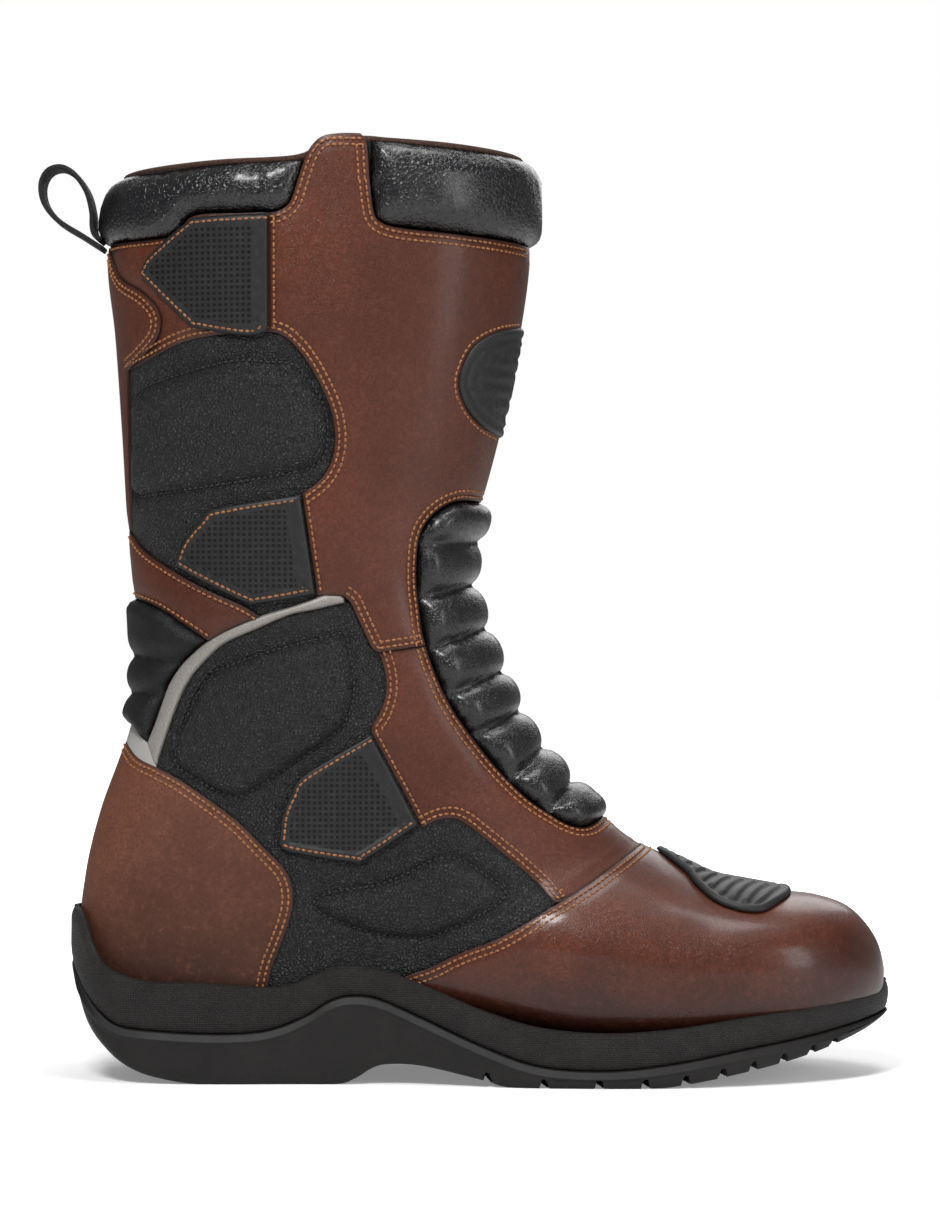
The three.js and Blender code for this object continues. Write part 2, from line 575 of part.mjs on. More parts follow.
const seam = (points) => inset(points, GAP / 2);
const onBothSides = (layer, pattern) => layer.intersect(sideCut(seam(pattern)));
const onLateral = (layer, pattern) => layer.intersect(lateralCut(seam(pattern)));
const onMedial = (layer, pattern) => layer.intersect(medialCut(seam(pattern)));
const upperLeather = leather.subtract(boardGround(0));

// Sole unit
const seat = last(GAP);
const plan = planCut(planEdge, -5, 90 * heightGrade);
const outsoleSide = sideCut(outline([treadEdge, archEdge, toeSpringEdge, reversed(soleSplitEdge)]));
// along the tread, in the base pattern
const slotPlaces = [30, 46, 88, 150, 168, 186, 204, 222, 240, 256, 272];
const TOE_SPRING_START = 215;
const TOE_SPRING_SLOPE = 0.2;
function treadSlot(x) {
  const [gx] = grade([x, 0]);
  const height = Math.max(0, (x - TOE_SPRING_START) * TOE_SPRING_SLOPE) + TREAD_DEPTH;
  const lean = 2.5; // each slot leans towards the toe
  return sideCut([
    [gx, -2], [gx + TREAD_SLOT, -2], [gx + TREAD_SLOT + lean, height], [gx + lean, height],
  ]);
}
let outsole = outsoleSide.intersect(plan).subtract(seat);
for (const x of slotPlaces) outsole = outsole.subtract(treadSlot(x));
const SHANK_TOP = 23.2; // height of the shank's upper face, close under the insole board
const shankBed = [grade([72, 0])[0], SHANK_TOP * heightGrade - SHANK_THICKNESS];
const shankBox = (grow) =>
  sideCut(
    [
      [shankBed[0] - grow, shankBed[1] - grow],
      [shankBed[0] + SHANK_LENGTH + grow, shankBed[1] - grow],
      [shankBed[0] + SHANK_LENGTH + grow, shankBed[1] + SHANK_THICKNESS + grow * 12],
      [shankBed[0] - grow, shankBed[1] + SHANK_THICKNESS + grow * 12],
    ],
    -SHANK_WIDTH / 2 - grow,
    SHANK_WIDTH / 2 + grow,
  );
const midsole = sideCut(outline([soleTopEdge, reversed(soleSplitEdge)])).intersect(plan).subtract(seat);
const splitGap = sideCut(
  outline([
    soleSplitEdge.map(([x, z]) => [x, z - GAP / 2]),
    reversed(soleSplitEdge).map(([x, z]) => [x, z + GAP / 2]),
  ]),
);
add("outsole", outsole.subtract(splitGap).subtract(shankBox(GAP)), "rubber");
add("midsole", midsole.subtract(splitGap).subtract(shankBox(GAP)), "rubber");
add("shank", shankBox(0), "steel");
add("insole_board", leather.intersect(boardGround(GAP)), "board");
const liningFloor = [
  [10, 32], [40, 28.5], [88, 30.5], [136, 30], [160, 26], [184, 22.5], [222, 21.5], [252, 24], [290, 31],
];
const footbedTop = liningFloor.map(([x, z]) => [x, z + FOOTBED / heightGrade]);
add("footbed", last(liningInner - GAP).intersect(sideCut(outline([footbedTop, [[290, 5],
  [10, 5]]]))), "foam");

// Lining and the stiff pieces let into it
const pocket = (pattern) => shell(liningOuter - STIFFENER - GAP,
  liningOuter + 0.1).intersect(sideCut(pattern));
const insert = shell(liningOuter - STIFFENER, liningOuter);
const pockets = [
  pocket(PATTERNS.toePuff),
  pocket(PATTERNS.heelStiffener),
  pocket(PATTERNS.shinPlate),
  pocket(PATTERNS.ankleFoam),
];
const linedShell = pockets.reduce((made, cut) => made.subtract(cut), lining).subtract(openTop);
add("foot_lining", linedShell.intersect(footHalf), "lining");
add("shaft_lining", linedShell.intersect(legHalf), "lining");
add("flex_lining_front", linedShell.intersect(wedge(FOOT_FRONT, LEG_FRONT)), "lining");
add("flex_lining_rear", linedShell.intersect(wedge(LEG_REAR, FOOT_REAR)), "lining");
add("toe_puff", onBothSides(insert, PATTERNS.toePuff), "plastic");
add("heel_stiffener", onBothSides(insert, PATTERNS.heelStiffener), "plastic");
add("shin_plate", onBothSides(insert, PATTERNS.shinPlate), "plastic");
add("lateral_ankle_foam", onLateral(insert, PATTERNS.ankleFoam), "foam");
add("medial_ankle_foam", onMedial(insert, PATTERNS.ankleFoam), "foam");

// Foot leathers
add("vamp", onBothSides(upperLeather, PATTERNS.vamp), "brown");
add("heel_cover", onBothSides(upperLeather, PATTERNS.heel), "brown");
add("lateral_quarter", onLateral(upperLeather, PATTERNS.quarter), "textured");
add("medial_quarter", onMedial(upperLeather, PATTERNS.quarter), "textured");
add("heel_reflector", onBothSides(leather, PATTERNS.heelReflector), "reflective");

// Soft pieces that bend at the ankle
add("instep_overlay", onBothSides(leather, PATTERNS.instep), "brown");
add("lateral_ankle_panel", onLateral(leather, PATTERNS.ankle), "textured");
add("medial_ankle_panel", onMedial(leather, PATTERNS.ankle), "textured");
const pipingLayer = shell(-LEATHER, PIPING_PROUD);
add("lateral_piping", onLateral(pipingLayer, PATTERNS.piping), "reflective");
add("medial_piping", onMedial(pipingLayer, PATTERNS.piping), "reflective");

// A padded, ribbed panel: a flat ground with ribs that stand proud, parted by grooves.
function ribbed(pattern, grooves) {
  const ground = onBothSides(shell(-LEATHER, 1), pattern);
  let ribs = onBothSides(shell(0.5, RIB_BULGE), pattern);
  for (const [inner, outer] of grooves) {
    const [a, b] = [grade(inner), grade(outer)];
    const long = Math.hypot(...sub(b, a));
    const square = [(-(b[1] - a[1]) / long) * (RIB_GROOVE / 2), ((b[0] - a[0]) / long) * (RIB_GROOVE / 2)];
    const reach = [(b[0] - a[0]) * 0.6, (b[1] - a[1]) * 0.6];
    ribs = ribs.subtract(
      sideCut([
        [a[0] - reach[0] - square[0], a[1] - reach[1] - square[1]],
        [b[0] + reach[0] - square[0], b[1] + reach[1] - square[1]],
        [b[0] + reach[0] + square[0], b[1] + reach[1] + square[1]],
        [a[0] - reach[0] + square[0], a[1] - reach[1] + square[1]],
      ]),
    );
  }
  return ground.add(ribs);
}
const frontGrooves = [
  [[131, 199], [149, 200]], [[130, 178.5], [148, 183]], [[133, 159], [154, 166.5]], [[139, 142],
  [160, 150]],
  [[148, 125.5], [166, 135]], [[163, 109], [176, 121.5]], [[178, 98], [187, 109]],
];
const rearGrooves = [[[46, 154], [26, 157]], [[38, 143], [25, 143]]];
add("front_flex_panel", ribbed(PATTERNS.frontFlex, frontGrooves), "black");
add("rear_flex_panel", ribbed(PATTERNS.rearFlex, rearGrooves), "black");

// Leg leathers
add(
  "shaft_panel",
  leather.intersect(sideCut(seam(PATTERNS.shaftLateral), -FAR, 0)).add(
    leather.intersect(sideCut(seam(PATTERNS.shaftMedial), -0.01, FAR)),
  ),
  "brown",
);
add("back_stay", onBothSides(leather, PATTERNS.backStay), "brown");
add("lateral_rear_panel", onLateral(leather, PATTERNS.rearLateral), "brown");
add("medial_rear_panel", onMedial(leather, PATTERNS.rearMedial), "brown");
add("lateral_calf_panel", onLateral(leather, PATTERNS.calfLateral), "textured");
add("medial_calf_panel", onMedial(leather, PATTERNS.calfMedial), "textured");
add("diagonal_band", onBothSides(leather, PATTERNS.diagonalBand), "brown");

const collarLining = shell(-LEATHER, COLLAR_PIPING);
const collarPad = shell(0, COLLAR_BULGE);
const padded = (pattern, pad) => onBothSides(collarLining, pattern).add(collarPad.intersect(sideCut(pad)));
add("collar_front", padded(PATTERNS.collarFront, PATTERNS.collarFrontPad), "black");
const tabGround = medialCut(inset(outline([[[TAB_REAR, 300], [120, 300], [120, 360],
  [TAB_REAR, 360]]]), -GAP));
add("collar_rear", padded(PATTERNS.collarRear, PATTERNS.collarRearPad).subtract(tabGround), "black");

// Rubber patches, badge and shift pad, sewn on top of the leather
const patches = shell(GAP, GAP + PATCH);
add("upper_patch", onLateral(patches, PATTERNS.upperPatch), "patch");
add("middle_patch", onLateral(patches, PATTERNS.middlePatch), "patch");
add("lateral_lower_patch", onLateral(patches, PATTERNS.lowerPatch), "patch");
add("medial_lower_patch", onMedial(patches, PATTERNS.lowerPatch), "patch");
add("shin_badge", onBothSides(patches, PATTERNS.badge), "patch");
add("shift_pad", onBothSides(shell(GAP, GAP + SHIFT_PAD), PATTERNS.shiftPad), "patch");

// Zip on the inner side
const zipLow = zipBottom[1] + 2;
const zipHigh = zipTop[1] - 2;
const tapeLayer = shell(-LEATHER + GAP / 2, -0.9);
const toothLayer = shell(-0.9 + GAP, ZIP_TOOTH_PROUD);
const tapeEdge = ZIP_GAP / 2 - 0.2;
const strip = (near, far, low, high) => outline(zipStrip(near, far, low, high));
add("zip_tape_front", onMedial(tapeLayer, strip(0.3, tapeEdge, zipLow, zipHigh)), "webbing");
add("zip_tape_rear", onMedial(tapeLayer, strip(-tapeEdge, -0.3, zipLow, zipHigh)), "webbing");
const teethLow = zipLow + 4;
const teethHigh = zipHigh - 3;
add("zip_teeth_front", onMedial(toothLayer, strip(0.1, ZIP_TOOTH_WIDTH, teethLow, teethHigh)), "nickel");
add("zip_teeth_rear", onMedial(toothLayer, strip(-ZIP_TOOTH_WIDTH, -0.1, teethLow, teethHigh)), "nickel");
const stopLayer = shell(-0.9 + GAP, ZIP_TOOTH_PROUD + 0.6);
add("zip_top_stop", onMedial(stopLayer, strip(-3, 3, teethHigh, zipHigh)), "nickel");
add("zip_bottom_stop", onMedial(stopLayer, strip(-3, 3, zipLow, teethLow)), "nickel");

// The zip's own frame: y out of the leather, z up the zip, with its origin on the leather at the
// slider's centre.
const SLIDER_Z = 284; // height of the slider's centre when shut, in the base pattern
const zipStart = medialPoint([zipX(SLIDER_Z), SLIDER_Z]);
const zipEnd = medialPoint(zipBottom);
const zipUp = new THREE.Vector3().subVectors(zipStart, zipEnd).normalize();
const zipOut = new THREE.Vector3(0, 1, 0).addScaledVector(zipUp, -zipUp.y).normalize();
const zipFrame = new THREE.Matrix4()
  .makeBasis(new THREE.Vector3().crossVectors(zipOut, zipUp), zipOut, zipUp)
  .setPosition(zipStart);
const inZipFrame = (geometry) => solid(geometry.applyMatrix4(zipFrame));
const block = (width, depth, height, x, y, z) =>
  inZipFrame(new THREE.BoxGeometry(width, depth, height).translate(x, y, z));
const crossBar = (radius, length, y, z, sides = 16) =>
  inZipFrame(new THREE.CylinderGeometry(radius, radius, length,
    sides).rotateZ(Math.PI / 2).translate(0, y, z));

const sliderBase = ZIP_TOOTH_PROUD + SLIDER.lift;
const eyeOuter = PULLER_EYE + PULLER_EYE_WALL;
const pinHeight = sliderBase + SLIDER.thickness + GAP + eyeOuter;
const earWidth = 1;
const earPlace = PULLER.width / 2 + GAP + earWidth / 2;
const ears = [-1, 1].map((side) =>
  block(earWidth, pinHeight + PULLER_PIN - sliderBase - 0.5, 3, side * earPlace,
    (pinHeight + PULLER_PIN + sliderBase + 0.5) / 2, 0),
);
const slider = ears
  .reduce((made, ear) => made.add(ear), block(SLIDER.width, SLIDER.thickness, SLIDER.length, 0,
    sliderBase + SLIDER.thickness / 2, 0))
  .add(crossBar(PULLER_PIN, 2 * earPlace, pinHeight, 0));
add("zip_slider", slider, "nickel");

const pullerPlate = block(PULLER.width, PULLER.thickness, PULLER.length, 0, pinHeight,
  -PULLER_EYE - PULLER.length / 2);
const puller = crossBar(eyeOuter, PULLER.width, pinHeight, 0)
  .add(pullerPlate)
  .subtract(crossBar(PULLER_EYE, PULLER.width + 2, pinHeight, 0));
add("zip_puller", puller, "nickel");

// Closure tab over the top of the zip: an anchor sewn to the shaft, a tab that swings on it, hook and loop
const TAB_LOW = 304;
const TAB_HIGH = 340;
const TAB_HINGE = 104;
const fastenerInner = GAP + HOOK_AND_LOOP + GAP;
const tabInner = fastenerInner + HOOK_AND_LOOP + GAP;
const tabOuter = tabInner + TAB;
const tabEnd = TAB_HINGE - HINGE_GAP;
const tabPattern = outline([[
  [tabEnd, TAB_LOW], [76, TAB_LOW + 1], [69, TAB_LOW + 6], [68, 318], [68, TAB_HIGH - 7],
  [69, TAB_HIGH - 5],
  [76, TAB_HIGH], [tabEnd, TAB_HIGH],
]]);
const fastenerPattern = outline([[
  [70.5, TAB_LOW + 8], [80, TAB_LOW + 5], [80, TAB_HIGH - 4], [70.5, TAB_HIGH - 7],
]]);
add("tab_anchor", onMedial(shell(GAP, tabOuter), outline([[[TAB_HINGE, TAB_LOW], [112, TAB_LOW]],
  [[112, TAB_HIGH], [TAB_HINGE, TAB_HIGH]]])), "brown");
add("tab_loop_patch", onMedial(shell(GAP, GAP + HOOK_AND_LOOP), fastenerPattern), "webbing");
add("tab_hook_patch", onMedial(shell(fastenerInner, fastenerInner + HOOK_AND_LOOP),
  fastenerPattern), "webbing");
add("closure_tab", onMedial(shell(tabInner, tabOuter), tabPattern), "brown");

// Pull loop: webbing that leaves the collar seam, turns over in a teardrop and comes back to the seam
const LOOP_THICKNESS = 2.2;
const loopLine = [
  [12, 310], [5, 314.5], [-4.5, 320.5], [-9.8, 327], [-11, 334], [-8.5, 339.2], [-3.5, 340.7], [1.5, 338],
  [6, 331.5], [8, 324], [8.2, 318.5], [9, 315.4], [11.7, 313],
].map(grade);
function ribbon(line, thickness) {
  const side = (by) =>
    line.map((p, i) => {
      const [dx, dz] = sub(line[Math.min(line.length - 1, i + 1)], line[Math.max(0, i - 1)]);
      const long = Math.hypot(dx, dz);
      return [p[0] - (dz / long) * by, p[1] + (dx / long) * by];
    });
  return [...side(thickness / 2), ...side(-thickness / 2).reverse()];
}
add("pull_loop", sideCut(ribbon(loopLine, LOOP_THICKNESS), -LOOP_WIDTH / 2, LOOP_WIDTH / 2), "webbing");

export default boot;
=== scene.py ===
import math

import bmesh
import bpy
import numpy as np
from mathutils import Matrix, Vector
from mathutils.bvhtree import BVHTree
from mathutils.geometry import delaunay_2d_cdt
from mathutils.kdtree import KDTree


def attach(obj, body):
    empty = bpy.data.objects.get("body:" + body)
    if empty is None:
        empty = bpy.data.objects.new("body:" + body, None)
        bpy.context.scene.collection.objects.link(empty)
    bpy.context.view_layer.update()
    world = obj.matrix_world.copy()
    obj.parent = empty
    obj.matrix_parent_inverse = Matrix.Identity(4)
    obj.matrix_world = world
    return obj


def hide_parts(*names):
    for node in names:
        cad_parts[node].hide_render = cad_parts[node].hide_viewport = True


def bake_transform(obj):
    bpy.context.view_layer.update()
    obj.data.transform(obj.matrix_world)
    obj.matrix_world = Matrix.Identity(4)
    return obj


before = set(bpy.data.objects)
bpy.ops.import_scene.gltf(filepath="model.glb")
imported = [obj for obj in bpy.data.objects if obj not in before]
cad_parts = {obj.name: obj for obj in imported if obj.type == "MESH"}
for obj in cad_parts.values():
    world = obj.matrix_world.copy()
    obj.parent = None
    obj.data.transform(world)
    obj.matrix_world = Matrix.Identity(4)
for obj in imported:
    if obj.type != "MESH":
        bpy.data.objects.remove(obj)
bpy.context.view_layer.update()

# ---- Studio ------------------------------------------------------------------------------------------
# A long lens looks square at the outer side of the boot from the height of its middle. Large soft lights
# stand at the front left, the front right, above and behind, over a pale floor.
MM = 0.001
scene = bpy.context.scene
scene.view_settings.view_transform = "Standard"

LENS = 0.120
FILM_HEIGHT = 0.036
VIEW_HEIGHT = 0.4449
VIEW_CENTRE = Vector((0.0841, -0.045, 0.1752))
camera_data = bpy.data.cameras.new("camera")
camera_data.sensor_fit = "VERTICAL"
camera_data.sensor_height = FILM_HEIGHT / MM
camera_data.lens = LENS / MM
camera = bpy.data.objects.new("camera", camera_data)
camera.location = VIEW_CENTRE + Vector((0, -VIEW_HEIGHT * LENS / FILM_HEIGHT, 0))
camera.rotation_euler = (math.radians(90), 0, 0)
scene.collection.objects.link(camera)
scene.camera = camera


def softbox(name, place, aim, size, power):
    data = bpy.data.lights.new(name, "AREA")
    data.shape = "RECTANGLE"
    data.size, data.size_y = size
    data.energy = power
    lamp = bpy.data.objects.new(name, data)
    lamp.location = place
    lamp.rotation_euler = (Vector(aim) - Vector(place)).to_track_quat("-Z", "Y").to_euler()
    scene.collection.objects.link(lamp)


softbox("key", (-0.25, -1.00, 1.25), (0.08, 0, 0.15), (0.36, 0.36), 19)
softbox("fill", (1.20, -0.85, 0.50), (0.08, 0, 0.15), (0.35, 0.9), 6)
softbox("top", (0.30, -0.10, 1.4), (0.10, 0, 0.1), (0.8, 0.4), 8)
softbox("behind", (0.2, 1.3, 0.9), (0.08, 0, 0.18), (1.2, 0.9), 7)

# The room is dim white round the boot, but the paper behind it shows plain white
ROOM, PAPER = 0.17, 1.0
world = bpy.data.worlds.new("studio")
world.use_nodes = True
room = world.node_tree
room.nodes["Background"].inputs["Color"].default_value = (1, 1, 1, 1)
seen = room.nodes.new("ShaderNodeLightPath").outputs["Is Camera Ray"]
strength = room.nodes.new("ShaderNodeMapRange")
strength.inputs["To Min"].default_value = ROOM
strength.inputs["To Max"].default_value = PAPER
room.links.new(seen, strength.inputs["Value"])
room.links.new(strength.outputs["Result"], room.nodes["Background"].inputs["Strength"])
scene.world = world


def new_object(name, bm):
    mesh = bpy.data.meshes.new(name)
    bm.to_mesh(mesh)
    bm.free()
    obj = bpy.data.objects.new(name, mesh)
    scene.collection.objects.link(obj)
    return obj


def new_material(name):
    """A new material, its node tree and its surface shader."""
    material = bpy.data.materials.new(name)
    material.use_nodes = True
    return material, material.node_tree, material.node_tree.nodes["Principled BSDF"]


floor_bm = bmesh.new()
bmesh.ops.create_circle(floor_bm, cap_ends=True, segments=96, radius=6)
floor = new_object("floor", floor_bm)
pale_floor, floor_tree, floor_surface = new_material("pale_floor")
floor_surface.inputs["Base Color"].default_value = (0.88, 0.88, 0.88, 1)
floor_surface.inputs["Roughness"].default_value = 0.95
floor_surface.inputs["Emission Color"].default_value = (1, 1, 1, 1)
# Away from the boot the floor fades into the white paper
floor_place = floor_tree.nodes.new("ShaderNodeTexCoord").outputs["Object"]
floor_reach = floor_tree.nodes.new("ShaderNodeVectorMath")
floor_reach.operation = "LENGTH"
floor_tree.links.new(floor_place, floor_reach.inputs[0])
floor_fade = floor_tree.nodes.new("ShaderNodeMapRange")
floor_fade.interpolation_type = "SMOOTHSTEP"
for label, value in (("From Min", 0.16), ("From Max", 0.75), ("To Min", 0.22), ("To Max", 1.0)):
    floor_fade.inputs[label].default_value = value
floor_tree.links.new(floor_reach.outputs["Value"], floor_fade.inputs["Value"])
floor_seen = floor_tree.nodes.new("ShaderNodeMath")
floor_seen.operation = "MULTIPLY"
floor_tree.links.new(floor_fade.outputs["Result"], floor_seen.inputs[0])
floor_tree.links.new(floor_tree.nodes.new("ShaderNodeLightPath").outputs["Is Camera Ray"],
    floor_seen.inputs[1])
floor_tree.links.new(floor_seen.outputs[0], floor_surface.inputs["Emission Strength"])
floor.data.materials.append(pale_floor)

# ---- Insole board, shank and stiff inserts -----------------------------------------------------------
# The boot is built on a board of pressed leather fibre with a steel shank under the waist. A moulded toe
# puff and heel stiffener are let into the lining. All of them end up out of sight.


def wire(tree, kind, inputs=(), **settings):
    """Adds a node, sets its settings, and gives its inputs a value or another node's output."""
    node = tree.nodes.new(kind)
    for key, value in settings.items():
        setattr(node, key, value)
    for key, value in dict(inputs).items():
        if isinstance(value, bpy.types.NodeSocket):
            tree.links.new(value, node.inputs[key])
        else:
            node.inputs[key].default_value = value
    return node


def maths(tree, operation, *values):
    return wire(tree, "ShaderNodeMath", dict(enumerate(values)), operation=operation).outputs[0]


def ramp(tree, value, low, high):
    """value stretched smoothly so that low becomes 0 and high becomes 1, and held there beyond them."""
    given = {"Value": value, "From Min": low, "From Max": high}
    return wire(tree, "ShaderNodeMapRange", given, interpolation_type="SMOOTHSTEP").outputs["Result"]


def mixed(tree, share, first, second):
    """One colour turning into another as share goes from 0 to 1."""
    node = wire(tree, "ShaderNodeMix", {"Factor": share}, data_type="RGBA")
    for socket, value in ((node.inputs[6], first), (node.inputs[7], second)):
        if isinstance(value, bpy.types.NodeSocket):
            tree.links.new(value, socket)
        else:
            socket.default_value = (*value, 1)
    return node.outputs[2]


def noise(tree, place, scale, detail=3.0, roughness=0.5):
    given = {"Vector": place, "Scale": float(scale), "Detail": float(detail), "Roughness": float(roughness)}
    return wire(tree, "ShaderNodeTexNoise", given).outputs["Fac"]


def object_place(tree):
    return tree.nodes.new("ShaderNodeTexCoord").outputs["Object"]


def bumped(tree, surface, height, depth):
    """Raises the surface by height, times depth in millimetres."""
    node = wire(tree, "ShaderNodeBump", {"Height": height, "Distance": depth * MM})
    tree.links.new(node.outputs["Normal"], surface.inputs["Normal"])


def speckled(name, dark, light, scale, roughness, depth, metallic=0.0):
    """A plain stuff whose colour and height both vary with one fine noise."""
    material, tree, surface = new_material(name)
    grain = noise(tree, object_place(tree), scale, 5, 0.65)
    tree.links.new(mixed(tree, ramp(tree, grain, 0.3, 0.7), dark, light), surface.inputs["Base Color"])
    surface.inputs["Roughness"].default_value = roughness
    surface.inputs["Metallic"].default_value = metallic
    surface.inputs["Specular IOR Level"].default_value = 0.3
    bumped(tree, surface, grain, depth)
    return material


fibre_board = speckled("leather_fibre_board", (0.16, 0.10, 0.05), (0.34, 0.24, 0.14), 700, 0.9, 0.15)
shank_steel = speckled("shank_steel", (0.42, 0.42, 0.43), (0.56, 0.56, 0.57), 1400, 0.38, 0.02, 1.0)
stiffener_plastic = speckled("stiffener_plastic", (0.50, 0.49, 0.46), (0.62, 0.61, 0.57), 500, 0.5, 0.05)
footbed_cloth = speckled("footbed_cloth", (0.010, 0.010, 0.011), (0.035, 0.035, 0.037), 1600, 0.95, 0.2)


def finish_node(node, material):
    """A CAD piece whose shape is right keeps it and gets its real finish."""
    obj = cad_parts[node]
    obj.data.materials.clear()
    obj.data.materials.append(material)


finish_node("insole_board", fibre_board)
finish_node("shank", shank_steel)
finish_node("footbed", footbed_cloth)
for insert in ("toe_puff", "heel_stiffener"):
    finish_node(insert, stiffener_plastic)

# ---- Lining ------------------------------------------------------------------------------------------
# One sock of black mesh fabric backed with foam. It takes the shape of the last, the wooden foot that
# every leather piece is pulled over too, so the last's own shape is worked out here.
ANKLE_X = 66  # the frame's origin is under the ankle axis, this many millimetres from the back of the sole
TOE_SWING = 6  # how far the toe leans to the inner side
# [back x, back z, front x, front z, squareness at the back, squareness at the front], in millimetres, from
# the collar down the leg, round the heel and along the foot to the toe
STATIONS = np.array([
    [22, 352, 170.5, 352, 2.1, 2.1], [15, 311, 171.5, 311, 2.1, 2.1], [18, 276, 167.5, 278, 2.1, 2.1],
    [20.5, 240, 160, 241, 2.1, 2.1], [22.5, 206, 152.5, 212, 2.1, 2.1], [25, 178, 147.5, 187, 2.1, 2.1],
    [26, 156, 152.5, 167, 2.2, 2.1], [24, 136, 160, 147.5, 2.3, 2.1], [19.5, 120, 168.5, 129, 2.5, 2.1],
    [12, 99, 180, 114, 2.8, 2.1], [6.5, 76, 191, 103, 3, 2.1], [4.5, 50, 200, 96, 3, 2.1],
    [12, 26, 210, 88, 3.2, 2.1], [40, 22.5, 220, 82, 4, 2.2], [88, 24.5, 231, 76.5, 4.5, 2.2],
    [136, 24, 242, 71.5, 4.5, 2.2], [184, 16.5, 254, 69, 4.5, 2.2], [222, 15, 268, 66.5, 4.5, 2.4],
    [252, 17.5, 281, 65, 4.2, 2.4], [276, 21, 293, 60.5, 3.6, 2.4], [291, 25, 302, 50, 3, 2.4],
    [301, 28.5, 305.5, 38, 2.4, 2.3], [305, 31, 305, 31.5, 2, 2],
])
TIP = len(STATIONS) - 1
BALL, HEEL, ANKLE, COLLAR = 51, 37, 37.5, 51  # half widths over the leather
ROW_STEPS = 12  # rows worked out between two stations
ACROSS = 160  # places worked out across one half of a row


def between(rows, at):
    """Rows of numbers read at fractional positions, on a smooth curve through them."""
    rows = np.asarray(rows, float)
    at = np.atleast_1d(np.asarray(at, float))
    i = np.clip(np.floor(at).astype(int), 0, len(rows) - 2)
    t = (at - i)[:, None]
    p, q, r, s = (rows[np.clip(i + k, 0, len(rows) - 1)] for k in (-1, 0, 1, 2))
    return q + 0.5 * t * (r - p + t * (2 * p - 5 * q + 4 * r - s + t * (3 * (q - r) + s - p)))


def ease(low, high, x):
    t = np.clip((x - low) / (high - low), 0, 1)
    return t * t * (3 - 2 * t)


def half_width(x, z):
    foot = HEEL + (BALL - HEEL) * ease(118, 200, x)
    toe = np.clip((x - 238) / (305.6 - 238), 0, 1) ** 2.3
    foot = foot * np.maximum(0, 1 - toe) ** 0.52
    leg = ANKLE + (COLLAR - ANKLE) * np.clip((z - 118) / (311 - 118), 0, 1)
    return foot + (leg - foot) * ease(75, 128, z)


def centre_line(x, z):
    return TOE_SWING * ease(150, 300, x) * ease(140, 90, z)


rows = between(STATIONS, np.arange(TIP * ROW_STEPS + 1) / ROW_STEPS)
fan_back, fan_front = rows[:, :2], rows[:, 2:4]
turns = np.linspace(0, math.pi, 241)
last_x, last_z, last_half, last_along = (np.zeros((len(rows), ACROSS + 1)) for _ in range(4))
for r, (_, _, _, _, back_square, front_square) in enumerate(rows):
    along = -np.cos(turns)
    power = np.where(along < 0, 2 / back_square, 2 / front_square)
    along = np.sign(along) * np.abs(along) ** power
    x, z = (fan_back[r] + (fan_front[r] - fan_back[r]) * (along[:, None] + 1) / 2).T
    half = half_width(x, z) * np.maximum(0, np.sin(turns)) ** power
    walked = np.concatenate([[0], np.cumsum(np.sqrt(np.diff(x) ** 2 + np.diff(z) ** 2 + np.diff(half) ** 2))])
    evenly = np.linspace(0, walked[-1], ACROSS + 1)
    for table, values in ((last_x, x), (last_z, z), (last_half, half), (last_along, along)):
        table[r] = np.interp(evenly, walked, values)
last_half[:, 0] = last_half[:, -1] = 0

# Normals of the outer half, with the neighbours mirrored at the centre line so that both halves agree there
outer_half = np.stack([last_x, -last_half, last_z], -1)
mirrored = np.array([1, -1, 1])
wide = np.concatenate([outer_half[:, 1:2] * mirrored, outer_half, outer_half[:, -2:-1] * mirrored], 1)
last_normal = np.cross(np.gradient(outer_half, axis=0), wide[:, 2:] - wide[:, :-2])
last_normal /= np.maximum(1e-9, np.linalg.norm(last_normal, axis=-1, keepdims=True))
last_normal[-1] = (1, 0, -0.15)
if last_normal[20, 80, 1] > 0:
    last_normal = -last_normal
    last_normal[-1] = (1, 0, -0.15)


def read_table(table, v, u):
    """A table of the last read between its rows (v counts stations) and places (u runs from 0 to 1)."""
    down = np.clip(v * ROW_STEPS, 0, len(rows) - 1 - 1e-6)
    across = np.clip(u * ACROSS, 0, ACROSS - 1e-6)
    r, c = down.astype(int), across.astype(int)
    tr, tc = down - r, across - c
    if table.ndim == 3:
        tr, tc = tr[:, None], tc[:, None]
    upper = table[r, c] * (1 - tc) + table[r, c + 1] * tc
    lower = table[r + 1, c] * (1 - tc) + table[r + 1, c + 1] * tc
    return upper * (1 - tr) + lower * tr


def on_last(v, u, side):
    """Points of the last and its normals there. side is -1 on the outer side and 1 on the inner side."""
    v, u = np.asarray(v, float), np.asarray(u, float)
    x, z = read_table(last_x, v, u), read_table(last_z, v, u)
    side = np.broadcast_to(side, v.shape)
    normal = read_table(last_normal, v, u)
    normal = normal / np.linalg.norm(normal, axis=1, keepdims=True)
    normal[:, 1] *= -side
    return np.stack([x, centre_line(x, z) + side * read_table(last_half, v, u), z], 1), normal


def in_frame(points):
    """Millimetres from the back of the sole, as metres in the frame."""
    return (np.asarray(points) - (ANKLE_X, 0, 0)) * MM


EDGE_SNAP = 0.008  # a place nearer the last's edge than this lies on the edge


